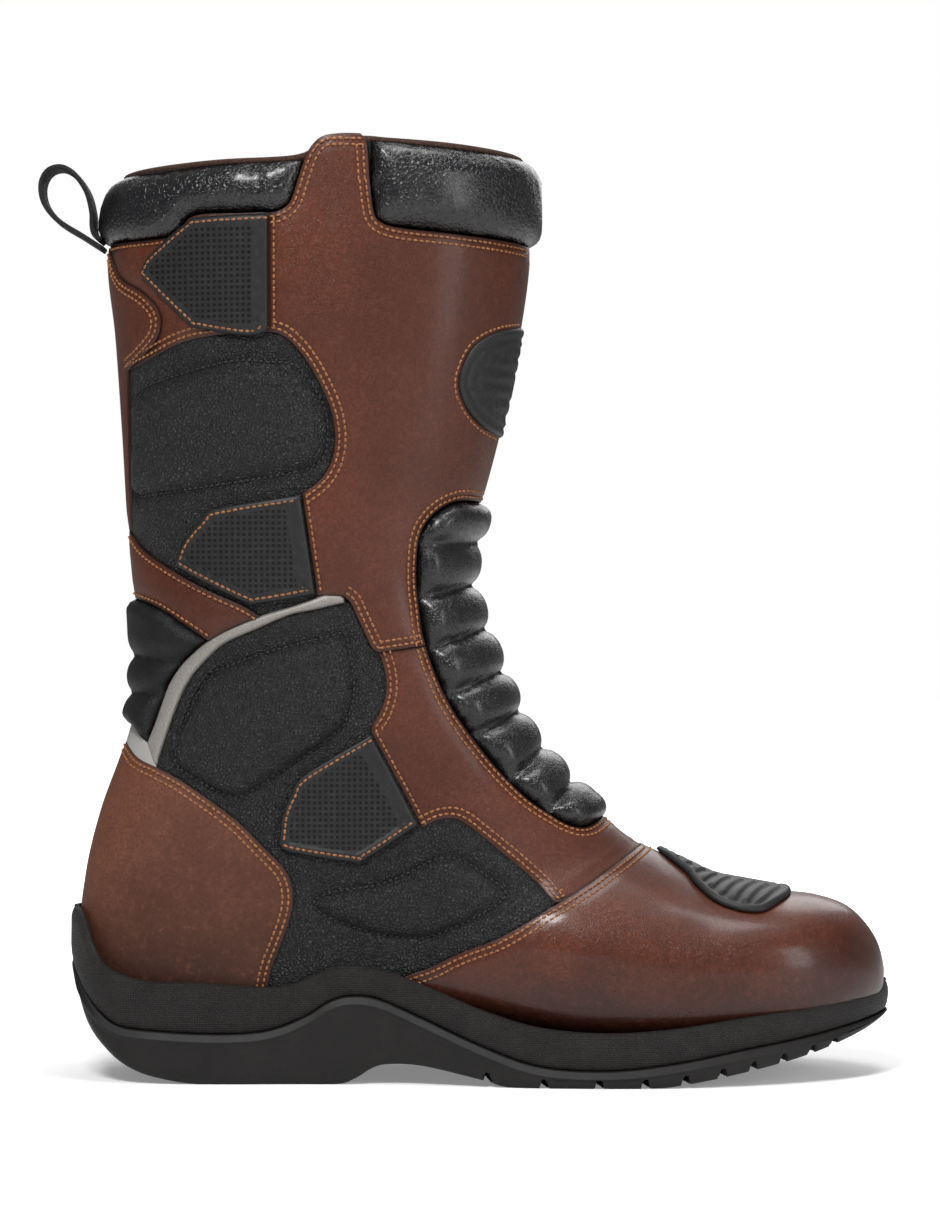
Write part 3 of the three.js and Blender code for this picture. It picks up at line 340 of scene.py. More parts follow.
def flatten(points):
    """Places on the last, (v, u), of points drawn in side view. What lies past its edge goes to it."""
    found = []
    spread = fan_front - fan_back
    for p in np.asarray(points, float):
        offset = p - fan_back
        turn = spread[:, 0] * offset[:, 1] - spread[:, 1] * offset[:, 0]
        share = (offset * spread).sum(1) / np.maximum(1e-9, (spread ** 2).sum(1))
        crossed = (turn[:-1] <= 0) != (turn[1:] <= 0)
        near = (share[:-1] > -0.6) & (share[:-1] < 1.6)
        places = np.flatnonzero(crossed & near)
        if len(places):
            i = places[0]
            t = turn[i] / (turn[i] - turn[i + 1])
            v, s = (i + t) / ROW_STEPS, share[i] * (1 - t) + share[i + 1] * t
        else:
            v, s = (0.0, share[0]) if p[1] > 200 else (float(TIP), 0.5)
        u = np.interp(2 * s - 1, last_along[int(round(v * ROW_STEPS))], np.linspace(0, 1, ACROSS + 1))
        found.append((v, 0.0 if u < EDGE_SNAP else 1.0 if u > 1 - EDGE_SNAP else u))
    return np.array(found)


def smooth_run(run, step=1.6):
    """A smooth curve through a run of points, in even steps of about step millimetres."""
    run = np.asarray(run, float)
    fine = between(run, np.linspace(0, len(run) - 1, 12 * len(run)))
    length = np.concatenate([[0], np.cumsum(np.linalg.norm(np.diff(fine, axis=0), axis=1))])
    even = np.linspace(0, length[-1], max(2, round(length[-1] / step) + 1))
    return np.stack([np.interp(even, length, column) for column in fine.T], 1)


def woven(columns, rows_of_squares, place, scale=(1, 1)):
    """A sheet of squares, each corner put where place(share along, share across) says, in millimetres."""
    bm = bmesh.new()
    pattern = bm.loops.layers.uv.new("pattern")
    bmesh.ops.create_grid(bm, x_segments=columns, y_segments=rows_of_squares, size=1, calc_uvs=True)
    bm.verts.ensure_lookup_table()
    shares = np.array([v.co[:2] for v in bm.verts]) * 0.5 + 0.5
    for face in bm.faces:
        for corner in face.loops:
            share = corner.vert.co * 0.5 + Vector((0.5, 0.5, 0))
            corner[pattern].uv = (share.x * scale[0] * MM, share.y * scale[1] * MM)
    for vert, point in zip(bm.verts, in_frame(place(shares[:, 0], shares[:, 1]))):
        vert.co = point
    bmesh.ops.remove_doubles(bm, verts=bm.verts, dist=0.02 * MM)
    bmesh.ops.dissolve_degenerate(bm, edges=bm.edges, dist=0.005 * MM)
    return bm


def settle(obj):
    """Makes a piece's modifiers final, and its shading smooth."""
    depsgraph = bpy.context.evaluated_depsgraph_get()
    done = bpy.data.meshes.new_from_object(obj.evaluated_get(depsgraph), depsgraph=depsgraph)
    obj.modifiers.clear()
    obj.vertex_groups.clear()
    obj.data = done
    obj.data.shade_smooth()
    return obj


def thicken(obj, thickness, edge=0.0, segments=2):
    """Gives a sheet its thickness, inwards from its face, and rounds its cut edges."""
    wall = obj.modifiers.new("thickness", "SOLIDIFY")
    wall.thickness = thickness * MM
    wall.offset = -1
    if edge:
        rounding = obj.modifiers.new("rounded_edge", "BEVEL")
        rounding.width = edge * MM
        rounding.segments = segments
        rounding.limit_method = "ANGLE"
        rounding.angle_limit = math.radians(55)
    return settle(obj)


FLEX_START, FLEX_END = 98, 170  # heights between which the upper bends with the ankle


def dress(obj, material, slot, *replaced, body=None):
    """Gives a finished piece its material, the CAD nodes it stands for, and the bodies it moves with."""
    obj.data.materials.clear()
    obj.data.materials.append(material)
    if replaced:
        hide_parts(*replaced)
    heights = [v.co.z / MM for v in obj.data.vertices]
    if body:
        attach(obj, body)
    elif min(heights) > FLEX_END:
        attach(obj, "shaft")
    elif max(heights) < FLEX_START:
        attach(obj, "foot")
    else:
        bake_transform(obj)
    return obj


LINING_FACE, LINING_THICKNESS = -1.0, 4.4
rim_edge = [
    [15, 337], [22, 337], [56, 338.5], [86, 339.5], [96, 344.5], [103, 346.5], [114, 346.5], [121, 346],
    [144.5, 345], [169, 343.5], [174, 343.2],
]
rim_places = flatten(smooth_run(rim_edge))


def sock(share_round, share_down):
    u = 1 - np.abs(1 - 2 * share_round)
    v_rim = np.interp(u, rim_places[:, 1], rim_places[:, 0])
    points, normal = on_last(v_rim + (TIP - 0.4 - v_rim) * share_down, u, np.where(share_round < 0.5, -1, 1))
    return points + normal * LINING_FACE


lining_bm = woven(176, 190, sock, (600, 520))
bmesh.ops.holes_fill(lining_bm, edges=[e for e in lining_bm.edges if e.is_boundary and all(
    v.co.x > 0.2 for v in e.verts)], sides=0)
bmesh.ops.recalc_face_normals(lining_bm, faces=lining_bm.faces)
lining = thicken(new_object("lining", lining_bm), LINING_THICKNESS, 1.6, 4)

lining_mesh, lining_tree, lining_surface = new_material("black_mesh_lining")
lining_place = lining_tree.nodes.new("ShaderNodeUVMap").outputs["UV"]
holes = wire(lining_tree, "ShaderNodeTexVoronoi",
    {"Vector": lining_place, "Scale": 620.0, "Randomness": 0.25})
lining_nap = noise(lining_tree, object_place(lining_tree), 2500, 4)
lining_height = maths(lining_tree, "ADD", ramp(lining_tree, holes.outputs["Distance"], 0.1, 0.5), lining_nap)
lining_tree.links.new(
    mixed(lining_tree, ramp(lining_tree, lining_height, 0.3, 1.4), (0.02, 0.02, 0.021),
        (0.006, 0.006, 0.0065)),
    lining_surface.inputs["Base Color"],
)
lining_surface.inputs["Roughness"].default_value = 0.95
bumped(lining_tree, lining_surface, lining_height, -0.25)
dress(
    lining, lining_mesh, "lining_fabric",
    "foot_lining", "shaft_lining", "flex_lining_front", "flex_lining_rear", "lateral_ankle_foam",
    "medial_ankle_foam",
)

# ---- Vamp --------------------------------------------------------------------------------------------
# The toe half of the foot is one piece of waxed brown cowhide, cut to a pattern drawn in side view, skived
# thin at its edges and pulled over the last. Its lower edge is turned in and cemented under the insole.
GROUND, OVERLAY, LOW_OVERLAY, UNDERSIDE = 0.0, 1.5, 0.9, -1.2  # levels of the leathers above the last
LEATHER_V, LEATHER_U = 20, 150  # millimetres of leather to one station and to one unit of u, for an even net


def centre_run(start, end, front=True):
    """The front or back centre line of the last between two points on it, as a run."""
    line = fan_front if front else fan_back
    a, b = flatten([start, end])[:, 0] * ROW_STEPS
    at = np.linspace(a, b, max(2, int(abs(b - a) / 4) + 2))
    return np.stack([np.interp(at, np.arange(len(line)), column) for column in line.T], 1)


def outline_of(runs, step=1.6):
    """A closed outline: smooth along each run, with a corner where two runs meet."""
    points = np.concatenate([smooth_run(run, step)[:-1] for run in runs])
    return points[np.linalg.norm(points - np.roll(points, 1, 0), axis=1) > 0.15]


def inside(points, outline):
    """Which points lie inside a closed outline."""
    a, b = outline, np.roll(outline, -1, 0)
    x, y = points[:, 0][:, None], points[:, 1][:, None]
    rising = (a[:, 1] > y) != (b[:, 1] > y)
    slope = (b[:, 0] - a[:, 0]) / np.where(b[:, 1] == a[:, 1], 1e-9, b[:, 1] - a[:, 1])
    return np.sum(rising & (x < a[:, 0] + (y - a[:, 1]) * slope), 1) % 2 == 1


def distances(points, lines):
    """How far each point is from the nearest point of some lines, in millimetres."""
    line = np.concatenate(lines)
    line = np.concatenate([line, (line + np.roll(line, -1, 0))[:-1] / 2])
    tree = KDTree(len(line))
    for i, p in enumerate(line):
        tree.insert(p, i)
    tree.balance()
    return np.array([tree.find(p)[2] for p in points])


def denser(line, closed, step=1.7):
    """A line of (v, u) places with none of them more than step millimetres of leather apart."""
    ends = np.roll(line, -1, 0) if closed else line[1:]
    made = []
    for a, b in zip(line, ends):
        long = np.hypot(*((b - a) * (LEATHER_V, LEATHER_U)))
        made += [a + (b - a) * t for t in np.arange(0, 1, 1 / max(1, math.ceil(long / step)))]
    return np.array(made if closed else made + [line[-1]])


def net(outline, creases, spacing):
    """An even net of triangles inside an outline of (v, u) places, with edges along the creases too."""
    scale = np.array([LEATHER_V, LEATHER_U])
    lines = [outline * scale] + [crease * scale for crease in creases]
    closed = [True] + [np.allclose(crease[0], crease[-1]) for crease in creases]
    low, high = lines[0].min(0), lines[0].max(0)
    grid = np.stack(np.meshgrid(*(np.arange(a + spacing / 2, b, spacing) for a, b in zip(low, high))), -1)
    grid[::2, :, 0] += spacing / 2
    grid = grid.reshape(-1, 2)
    grid = grid[inside(grid, lines[0])]
    flat_lines = [np.pad(line, ((0, 0), (0, 1))) for line in lines]
    grid = grid[distances(np.pad(grid, ((0, 0), (0, 1))), flat_lines) > spacing * 0.55]
    edges, first, grown = [], 0, []
    for line, ring in zip(lines, closed):
        line = line[:-1] if ring and np.allclose(line[0], line[-1]) else line
        last_edge = len(line) if ring else len(line) - 1
        edges += [(first + i, first + (i + 1) % len(line)) for i in range(last_edge)]
        grown.append(line)
        first += len(line)
    points = [Vector(p) for p in np.concatenate(grown + [grid])]
    corners, _, faces, *_ = delaunay_2d_cdt(points, edges, [], 0, 1e-3)
    corners = np.array([c[:] for c in corners])
    middles = np.array([corners[face].mean(0) for face in faces])
    return corners / scale, [face for face, kept in zip(faces, inside(middles, lines[0])) if kept]


def on_middle(outline):
    """Drops the stray points of a run that follows the boot's centre line from end to end."""
    whole = np.round(outline[:, 1])
    stray = (np.abs(outline[:, 1] - whole) < 0.04) & (outline[:, 1] != whole)
    kept = ~stray
    for place in np.flatnonzero(stray):
        before, after = place - 1, (place + 1) % len(outline)
        while stray[before]:
            before -= 1
        while stray[after]:
            after = (after + 1) % len(outline)
        kept[place] = outline[before, 1] != whole[before] or outline[after, 1] != whole[after]
    return outline[kept]


def cut(name, patterns, lift=OVERLAY, relief=None, creases=(), spacing=2.4, bands=(), flat="side",
    field=None):
    """A piece cut to its patterns, {side: runs}, and laid lift millimetres above the last. relief(points,
    from_edge, from_crease, in_crease) gives extra height. bands are lines kept at distances from the edge.
    field(points, from_edge) says how far inside the patterned part of a moulded piece each point is."""
    bm = bmesh.new()
    pattern = bm.loops.layers.uv.new("pattern")
    edge_layer = bm.verts.layers.float.new("edge")
    held_layer = bm.verts.layers.float.new("held")
    field_layer = bm.verts.layers.float.new("field")
    shown = {"side": (0, 2), "front": (1, 2), "top": (0, 1)}[flat]
    for side, runs in patterns.items():
        outline = denser(on_middle(flatten(outline_of(runs))), True)
        folds = [flatten(smooth_run(crease)) for crease in creases]
        middle = (outline[:, 1] == 0) | (outline[:, 1] == 1)
        border = outline
        if len(patterns) == 2:
            border = outline[~(middle & np.roll(middle, 1) & np.roll(middle, -1))]
        border_points = on_last(*border.T, side)[0]
        guides = list(folds)
        for band in bands:
            turn = np.roll(outline, -1, 0) - np.roll(outline, 1, 0)
            turn = turn * (LEATHER_V, LEATHER_U)
            across = np.stack([-turn[:, 1], turn[:, 0]], 1)
            across = across / np.maximum(1e-6, np.linalg.norm(turn, axis=1))[:, None]
            scaled = outline * (LEATHER_V, LEATHER_U)
            moved = scaled + across * band
            if inside(moved, scaled).mean() < 0.5:
                moved = scaled - across * band
            moved[:, 1] = np.where((outline[:, 1] == 0) | (outline[:, 1] == 1), scaled[:, 1], moved[:, 1])
            fine = distances(np.pad(moved, ((0, 0), (0, 1))), [np.pad(scaled, ((0, 0), (0, 1)))]) > band * 0.6
            moved = moved[fine & (inside(moved, scaled) | (moved[:, 1] == 0) | (moved[:, 1] == LEATHER_U))]
            gaps = np.flatnonzero(np.linalg.norm(np.diff(moved, axis=0), axis=1) > 6) + 1
            guides += [part / (LEATHER_V, LEATHER_U) for part in np.split(moved, gaps) if len(part) > 3]
        places, faces = net(outline, guides, spacing)
        base, normal = on_last(*places.T, side)
        from_edge = distances(base, [border_points])
        height = np.full(len(base), float(lift))
        from_crease, in_crease = np.full(len(base), 99.0), np.zeros(len(base), bool)
        if relief:
            for fold in folds:
                from_crease = np.minimum(from_crease, distances(base, [on_last(*fold.T, side)[0]]))
                if np.allclose(fold[0], fold[-1]):
                    in_crease |= inside(places, fold)
            height = height + relief(base, from_edge, from_crease, in_crease)
        verts = [bm.verts.new(p) for p in in_frame(base + normal * height[:, None])]
        inner = field(base, from_edge) if field else from_edge
        for vert, distance, crease_distance, depth in zip(verts, from_edge, from_crease, inner):
            vert[edge_layer] = min(distance, 12)
            vert[held_layer] = float(min(distance, crease_distance) < 0.5)
            vert[field_layer] = depth
        for face in faces:
            made = bm.faces.new([verts[i] for i in face])
            for corner, i in zip(made.loops, face):
                corner[pattern].uv = base[i, shown] * MM
        bm.normal_update()
        outward = sum(vert.normal.dot(Vector(n)) for vert, n in zip(verts, normal) if vert.link_faces)
        if outward < 0:
            own = set(verts)
            bmesh.ops.reverse_faces(bm, faces=[face for face in bm.faces if face.verts[0] in own])
    bmesh.ops.delete(bm, geom=[v for v in bm.verts if not v.link_faces], context="VERTS")
    bmesh.ops.remove_doubles(bm, verts=[v for v in bm.verts if v.is_boundary], dist=0.06 * MM)
    bmesh.ops.dissolve_degenerate(bm, edges=bm.edges, dist=0.02 * MM)
    return new_object(name, bm)


BOTH = (-1, 1)


def both(runs):
    return {side: runs for side in BOTH}


def skived(points, from_edge, from_crease, in_crease):
    """The hide thins towards its cut edge, and is drawn down along the two rows of stitches beside it."""
    return -0.5 * np.exp(-from_edge / 1.1) - 0.28 * np.exp(-(((from_edge - 2.8) / 1.7) ** 2))


# The look of a hide: an open grain of pebbles and creases, clouded colour, and wear along the cut edges
grain_group = bpy.data.node_groups.new("leather_grain", "ShaderNodeTree")
for label, kind, way in (
    ("Vector", "NodeSocketVector", "INPUT"), ("Pebbles", "NodeSocketFloat", "INPUT"),
    ("Creasing", "NodeSocketFloat", "INPUT"), ("Height", "NodeSocketFloat", "OUTPUT"),
):
    grain_group.interface.new_socket(label, in_out=way, socket_type=kind)
given = grain_group.nodes.new("NodeGroupInput").outputs
put = grain_group.nodes.new("NodeGroupOutput").inputs
wobble = wire(grain_group, "ShaderNodeTexNoise", {"Vector": given["Vector"], "Scale": 600.0, "Detail": 2.0})
bent = wire(
    grain_group, "ShaderNodeMix", {0: 0.0012, 4: given["Vector"], 5: wobble.outputs["Color"]},
    data_type="VECTOR"
).outputs[1]
cells = wire(
    grain_group, "ShaderNodeTexVoronoi", {"Vector": bent, "Scale": given["Pebbles"]},
    feature="DISTANCE_TO_EDGE"
)
pebble = ramp(grain_group, cells.outputs["Distance"], 0.0, 0.35)
pores = maths(grain_group, "MULTIPLY", noise(grain_group, given["Vector"], 2600, 3), 0.4)
folded = maths(grain_group, "ABSOLUTE", maths(grain_group, "SUBTRACT",
    noise(grain_group, given["Vector"], 95, 5), 0.5))
creased = maths(grain_group, "SUBTRACT", 1.0, ramp(grain_group, folded, 0.0, 0.03))
creased = maths(grain_group, "MULTIPLY", creased, given["Creasing"])
grain_group.links.new(
    maths(grain_group, "SUBTRACT", maths(grain_group, "ADD", pebble, pores), creased), put["Height"]
)

wear_group = bpy.data.node_groups.new("leather_wear", "ShaderNodeTree")
for label, kind, way in (
    ("Vector", "NodeSocketVector", "INPUT"), ("Reach", "NodeSocketFloat", "INPUT"),
    ("Edge", "NodeSocketFloat", "OUTPUT"), ("Pillow", "NodeSocketFloat", "OUTPUT"),
    ("Clouds", "NodeSocketFloat", "OUTPUT"), ("Scuffs", "NodeSocketFloat", "OUTPUT"),
):
    wear_group.interface.new_socket(label, in_out=way, socket_type=kind)
given = wear_group.nodes.new("NodeGroupInput").outputs
put = wear_group.nodes.new("NodeGroupOutput").inputs
from_edge = wire(wear_group, "ShaderNodeAttribute", attribute_name="edge").outputs["Fac"]
ragged = maths(wear_group, "MULTIPLY", given["Reach"], maths(
    wear_group, "ADD", noise(wear_group, given["Vector"], 220, 4), 0.5
))
wear_group.links.new(maths(
    wear_group, "SUBTRACT", 1.0, ramp(wear_group, maths(wear_group, "DIVIDE", from_edge, ragged), 0.0, 1.0)
), put["Edge"])
wear_group.links.new(ramp(wear_group, from_edge, 0.0, 6.5), put["Pillow"])
wear_group.links.new(ramp(wear_group, noise(wear_group, given["Vector"], 16, 5, 0.62), 0.3, 0.7),
    put["Clouds"])
wear_group.links.new(ramp(wear_group, noise(wear_group, given["Vector"], 340, 6, 0.75), 0.5, 0.75),
    put["Scuffs"])


def group_in(tree, group, **inputs):
    """Places a shader group in a material and gives its inputs values or other nodes' outputs."""
    node = tree.nodes.new("ShaderNodeGroup")
    node.node_tree = group
    for key, value in inputs.items():
        if isinstance(value, bpy.types.NodeSocket):
            tree.links.new(value, node.inputs[key])
        else:
            node.inputs[key].default_value = value
    return node.outputs


def hide(name, deep, pale, cut_edge, pebbles, creasing, depth, roughness, coat=0.0, reach=1.5, pillow=0.35,
         scuffing=0.25, dulling=0.1, mottling=900.0, shine=0.25, crown_glints=0.0, burnish_and_shade=None):
    """A leather: deep and pale are the ends of its clouded colour, and pebbles is how many go to a metre. Its
    last
    two settings paint light and shade: the first is how strongly the tops of its grain are painted pale as
    glints of highlight, and the second, (low, high, strength), darkens the hide below the height high and
    most at low, partly as polish and partly as painted shade."""
    material, tree, surface = new_material(name)
    place = object_place(tree)
    grain = group_in(tree, grain_group, Vector=place, Pebbles=float(pebbles), Creasing=float(creasing))
    wear = group_in(tree, wear_group, Vector=place, Reach=float(reach))
    colour = mixed(tree, wear["Clouds"], deep, pale)
    mottle = ramp(tree, noise(tree, place, mottling, 3, 0.7), 0.35, 0.65)
    colour = mixed(tree, maths(tree, "MULTIPLY", mottle, 0.5), colour, [0.55 * c for c in deep])
    # Painted highlight: the tops of the grain are painted pale, as glints of light on them.
    if crown_glints:
        glint_share = maths(tree, "MULTIPLY", ramp(tree, grain["Height"], 0.95, 1.3), crown_glints)
        colour = mixed(tree, glint_share, colour, [3.2 * c for c in pale])
    # Below a height the hide is painted darker towards the sole, partly as polish and partly as painted
    # shade.
    if burnish_and_shade:
        height = wire(tree, "ShaderNodeSeparateXYZ", {0: place}).outputs["Z"]
        height = maths(tree, "MULTIPLY_ADD", wear["Clouds"], 0.012, maths(tree, "SUBTRACT", height, 0.006))
        burnish_and_shade_share = maths(tree, "MULTIPLY", ramp(tree, height, burnish_and_shade[1], burnish_and_shade[0]), burnish_and_shade[2])
        colour = mixed(tree, burnish_and_shade_share, colour, [0.22 * c for c in deep])
    scuffed = maths(tree, "MULTIPLY", wear["Scuffs"], scuffing)
    colour = mixed(tree, scuffed, colour, [min(1, 1.8 * c + 0.004) for c in pale])
    colour = mixed(tree, maths(tree, "MULTIPLY", wear["Edge"], 0.8), colour, cut_edge)
    tree.links.new(colour, surface.inputs["Base Color"])
    dull = maths(tree, "MULTIPLY_ADD", wear["Clouds"], -dulling, roughness + dulling / 2)
    tree.links.new(maths(tree, "MULTIPLY_ADD", wear["Scuffs"], 0.1, dull), surface.inputs["Roughness"])
    surface.inputs["Specular IOR Level"].default_value = shine
    surface.inputs["Coat Weight"].default_value = coat
    surface.inputs["Coat Roughness"].default_value = 0.2
    fine = wire(tree, "ShaderNodeBump", {"Height": grain["Height"], "Distance": depth * MM})
    broad = wire(
        tree, "ShaderNodeBump",
        {"Height": wear["Pillow"], "Distance": pillow * MM, "Normal": fine.outputs["Normal"]},
    )
    tree.links.new(broad.outputs["Normal"], surface.inputs["Normal"])
    return material


BROWN_CUT = (0.028, 0.011, 0.008)
waxed_hide = hide(
    "waxed_brown_leather", (0.062, 0.0145, 0.0068), (0.122, 0.0310, 0.0140), BROWN_CUT, 1500, 0.12, 0.05,
    0.32, 0.34,
    burnish_and_shade=(0.024, 0.062, 0.8),
)

strip_lower_edge = [
    [132.5, 94], [139.5, 97], [146.5, 96.5], [156, 89.5], [166.5, 81], [175, 73.5], [181.5, 67],
    [186.5, 68.5],
]
vamp_edge = [
    [214.5, 85.4], [205, 80], [195, 73.5], [186.5, 68.5], [178.5, 64], [162, 54.5], [147, 48.5], [136, 43],
    [125.5, 39], [112, 30],
]
vamp_turned_in = [
    [112, 30], [124, 28], [136, 25.5], [160, 20.5], [184, 17.5], [222, 16], [252, 18.5], [276, 21.8],
    [291, 25.6], [301, 29], [305, 31.2],
]
vamp = cut("vamp", both([vamp_edge, vamp_turned_in, centre_run((305, 31.4), (214.5, 85.4))]), OVERLAY, skived)
dress(thicken(vamp, OVERLAY - UNDERSIDE, 0.5), waxed_hide, "brown_leather", "vamp")

# ---- Instep overlay ----------------------------------------------------------------------------------
# A strap of brown leather that runs from the shaft down both sides of the tongue and joins in front of it.
# It lies over the ankle leather and under the vamp, and bends with the ankle.
flex_lower_edge = [
    [133.5, 161], [137, 151], [141.5, 141], [148.5, 130], [156.5, 119.5], [164.5, 110.5], [172, 103.5],
    [180, 98], [186, 94.5], [192.5, 93.2], [199.6, 96.2],
]
strip_rear_edge = [[116.5, 158.5], [118.5, 152], [119, 144.5], [117, 137], [114, 132], [114, 128.5]]
brown_hide = hide(
    "brown_pull_up_leather", (0.064, 0.0160, 0.0075), (0.112, 0.0300, 0.0145), BROWN_CUT, 1700, 0.22,
    0.055, 0.36, 0.14
)
instep = cut("instep_overlay", both([
    flex_lower_edge, centre_run((199.6, 96.2), (214.5, 85.4)), vamp_edge[:4], strip_lower_edge[::-1],
    [[132.5, 94], [114, 128.5]], strip_rear_edge[::-1], [[116.5, 158.5], [133.5, 161]],
]), LOW_OVERLAY, skived)
dress(thicken(instep, LOW_OVERLAY - UNDERSIDE, 0.5), brown_hide, "brown_leather", "instep_overlay")

# ---- Heel cover --------------------------------------------------------------------------------------
# One piece of oiled, buffed leather round the back of the heel. It has a duller, softer face than the rest.
buffed_hide = hide(
    "brown_buffed_leather", (0.100, 0.0340, 0.0195), (0.160, 0.0580, 0.0330), BROWN_CUT, 2600, 0.1, 0.03,
    0.58, 0.0,
    dulling=0.06, burnish_and_shade=(0.030, 0.092, 0.72),
)
heel_top_edge = [[20.8, 126], [26.5, 119.5], [34, 116], [43, 111.5], [54, 104.3]]
heel_front_edge = [
    [54, 104.3], [65, 96], [75, 86], [81, 80], [84, 74.5], [85, 67.5], [83.5, 59.5], [80, 50], [77, 42],
    [74.5, 30],
]
heel = cut("heel_cover", both([
    heel_top_edge, heel_front_edge, [[74.5, 30], [54, 29.5], [33, 30], [20, 32], [11, 36], [6.6, 41]],
    centre_run((6.6, 41), (20.8, 126), front=False),
]), LOW_OVERLAY, skived)
dress(thicken(heel, LOW_OVERLAY - UNDERSIDE, 0.5), buffed_hide, "brown_leather", "heel_cover")

# ---- Heel reflector ----------------------------------------------------------------------------------
# A wedge of silver retroreflective tape round the back, over the heel cover's top seam. The tape is a film
# over tiny glass beads, so it looks flat and pale grey.
reflective_tape = speckled("reflective_tape", (0.40, 0.38, 0.36), (0.56, 0.545, 0.52), 3200, 0.42, 0.05, 0.35)
reflector = cut("heel_reflector", both([
    [[23.2, 131.6], [30.5, 124.5]], [[30.5, 124.5], [34, 116]], heel_top_edge[:3][::-1],
    centre_run((20.8, 126), (23.2, 131.6), front=False),
]), 0.5)
dress(thicken(reflector, 1.5, 0.3), reflective_tape, "reflective_piping", "heel_reflector")

# ---- Quarter and ankle panel -------------------------------------------------------------------------
# On each side one piece of black textured leather runs from the waist of the foot up over the ankle bone.
# A foam pad over the ankle and a leaf-shaped one on the quarter are quilted in with black thread.
textured_hide = hide(
    "black_textured_leather", (0.0062, 0.0062, 0.0070), (0.0115, 0.0117, 0.0130), (0.003, 0.003, 0.004),
    780, 0.0, 0.50, 0.40, pillow=0.2, scuffing=0.5, mottling=1300.0, shine=0.32, crown_glints=0.9,
)
piping_inner_edge = [
    [34, 116], [35.5, 121], [39.5, 132.5], [43, 141.5], [47, 149], [52.5, 155.5], [60, 162], [71, 167],
    [84, 172.5], [93.5, 174.5], [104, 177],
]
shaft_bottom_edge = [[116.5, 158.5], [114, 160], [111.5, 165], [108.5, 171.5], [106, 177], [103, 179.5]]
ankle_pad = [
    [41, 121.5], [42.5, 128.5], [46, 136], [53.5, 150], [60, 153], [75, 158.5], [100, 165], [104, 165.5],
    [106, 157.5], [107.5, 147], [106, 137], [101, 129.5], [86, 118.5], [69, 107.5], [63.5, 105.5], [54, 109],
    [42.5, 116], [41, 121.5],
]
quarter_leaf = [
    [92.5, 65.5], [93.5, 68], [100.5, 70.5], [116, 73], [126.5, 77], [136.5, 82], [143.5, 83], [150, 80.5],
    [156, 76.5], [163, 71], [161, 67], [151, 61], [141, 56.5], [133.5, 54], [119.5, 54.5], [106, 58],
    [95.5, 62.5], [92.5, 65.5],
]


def quilted(fullness, reach):
    """Raises what lies inside the creases like a pad, and pulls the leather down along their stitches."""
    def shape(points, from_edge, from_crease, in_crease):
        rise = 1 - (1 - np.clip(from_crease / reach, 0, 1)) ** 2
        pulled = -1.0 * np.exp(-((from_crease / 1.2) ** 2))
        seam = -0.35 * np.exp(-from_edge / 1.4)
        return np.where(in_crease, fullness * np.sqrt(rise), 0.5 * np.sqrt(rise)) + pulled + seam
    return shape


for side, word in ((-1, "lateral"), (1, "medial")):
    panel = cut(f"{word}_ankle_and_quarter", {side: [
        piping_inner_edge, [[104, 177], [106, 177]], shaft_bottom_edge[:5][::-1], strip_rear_edge,
        [[114, 128.5], [132.5, 94]], strip_lower_edge[:-1], [[181.5, 67], [178.5, 64]], vamp_edge[4:],
        [[112, 30], [74.5, 30]], heel_front_edge[::-1], heel_top_edge[2:][::-1],
    ]}, GROUND, quilted(2.9, 8), [ankle_pad, quarter_leaf], 2.0)
    dress(
        thicken(panel, GROUND - UNDERSIDE, 0.4), textured_hide, "textured_leather", f"{word}_ankle_panel",
        f"{word}_quarter",
    )

# ---- Reflective piping -------------------------------------------------------------------------------
# A grey retroreflective strip, folded over a cord, follows the upper edge of the ankle panel on each side.
piping_outer_edge = [
    [96.5, 180], [86, 176], [73, 172], [61, 167], [52.5, 162], [45, 155.5], [39.5, 148], [36.5, 140.5],
    [33.5, 132], [30.5, 124.5],
]
reflective_cloth = speckled("reflective_piping_cloth", (0.20, 0.18, 0.165), (0.33, 0.31, 0.285), 2200,
    0.5, 0.06, 0.25)


def corded(points, from_edge, from_crease, in_crease):
    return 1.5 * np.sqrt(1 - (1 - np.clip(from_edge / 2.2, 0, 1)) ** 2)


for side, word in ((-1, "lateral"), (1, "medial")):
    piping = cut(f"{word}_reflective_piping", {side: [
        piping_outer_edge, [[30.5, 124.5], [33.3, 116.3]], piping_inner_edge,
        [[104, 177], [103, 179.5], [96.5, 180]],
    ]}, 0.2, corded, spacing=1.3, bands=(0.7,))
    dress(thicken(piping, 1.2), reflective_cloth, "reflective_piping", f"{word}_piping")

# ---- Diagonal band and back stay ---------------------------------------------------------------------
# A brown band wraps the back above the ankle. The stay runs up the back seam from it to the collar and
# widens to a rounded point on either side.
band_top_edge = [[22.5, 204.5], [29, 196.5], [41, 188.5], [54, 181.5], [66.5, 176], [73, 172]]
band_bottom_edge = [[25.2, 179], [35.5, 175], [45, 169], [54, 163]]
band = cut("diagonal_band", both([
    band_top_edge, [[73, 172], [61, 167], [54, 163]], band_bottom_edge[::-1],
    centre_run((25.2, 179), (22.5, 204.5), front=False),
]), OVERLAY, skived)
dress(thicken(band, OVERLAY - UNDERSIDE, 0.5), brown_hide, "brown_leather", "diagonal_band")

stay_edge = [
    [15, 310.7], [20, 298.5], [29, 292], [34.5, 286.5], [36.5, 281], [35, 274.5], [29, 268], [23, 263.5],
]
stay = cut("back_stay", both([
    stay_edge, [[23, 263.5], [23.2, 232], [23.6, 204.5]], [[23.6, 204.5], [22.5, 204.5]],
    centre_run((22.5, 204.5), (15, 310.7), front=False),
]), OVERLAY, skived)
dress(thicken(stay, OVERLAY - UNDERSIDE, 0.5), brown_hide, "brown_leather", "back_stay")

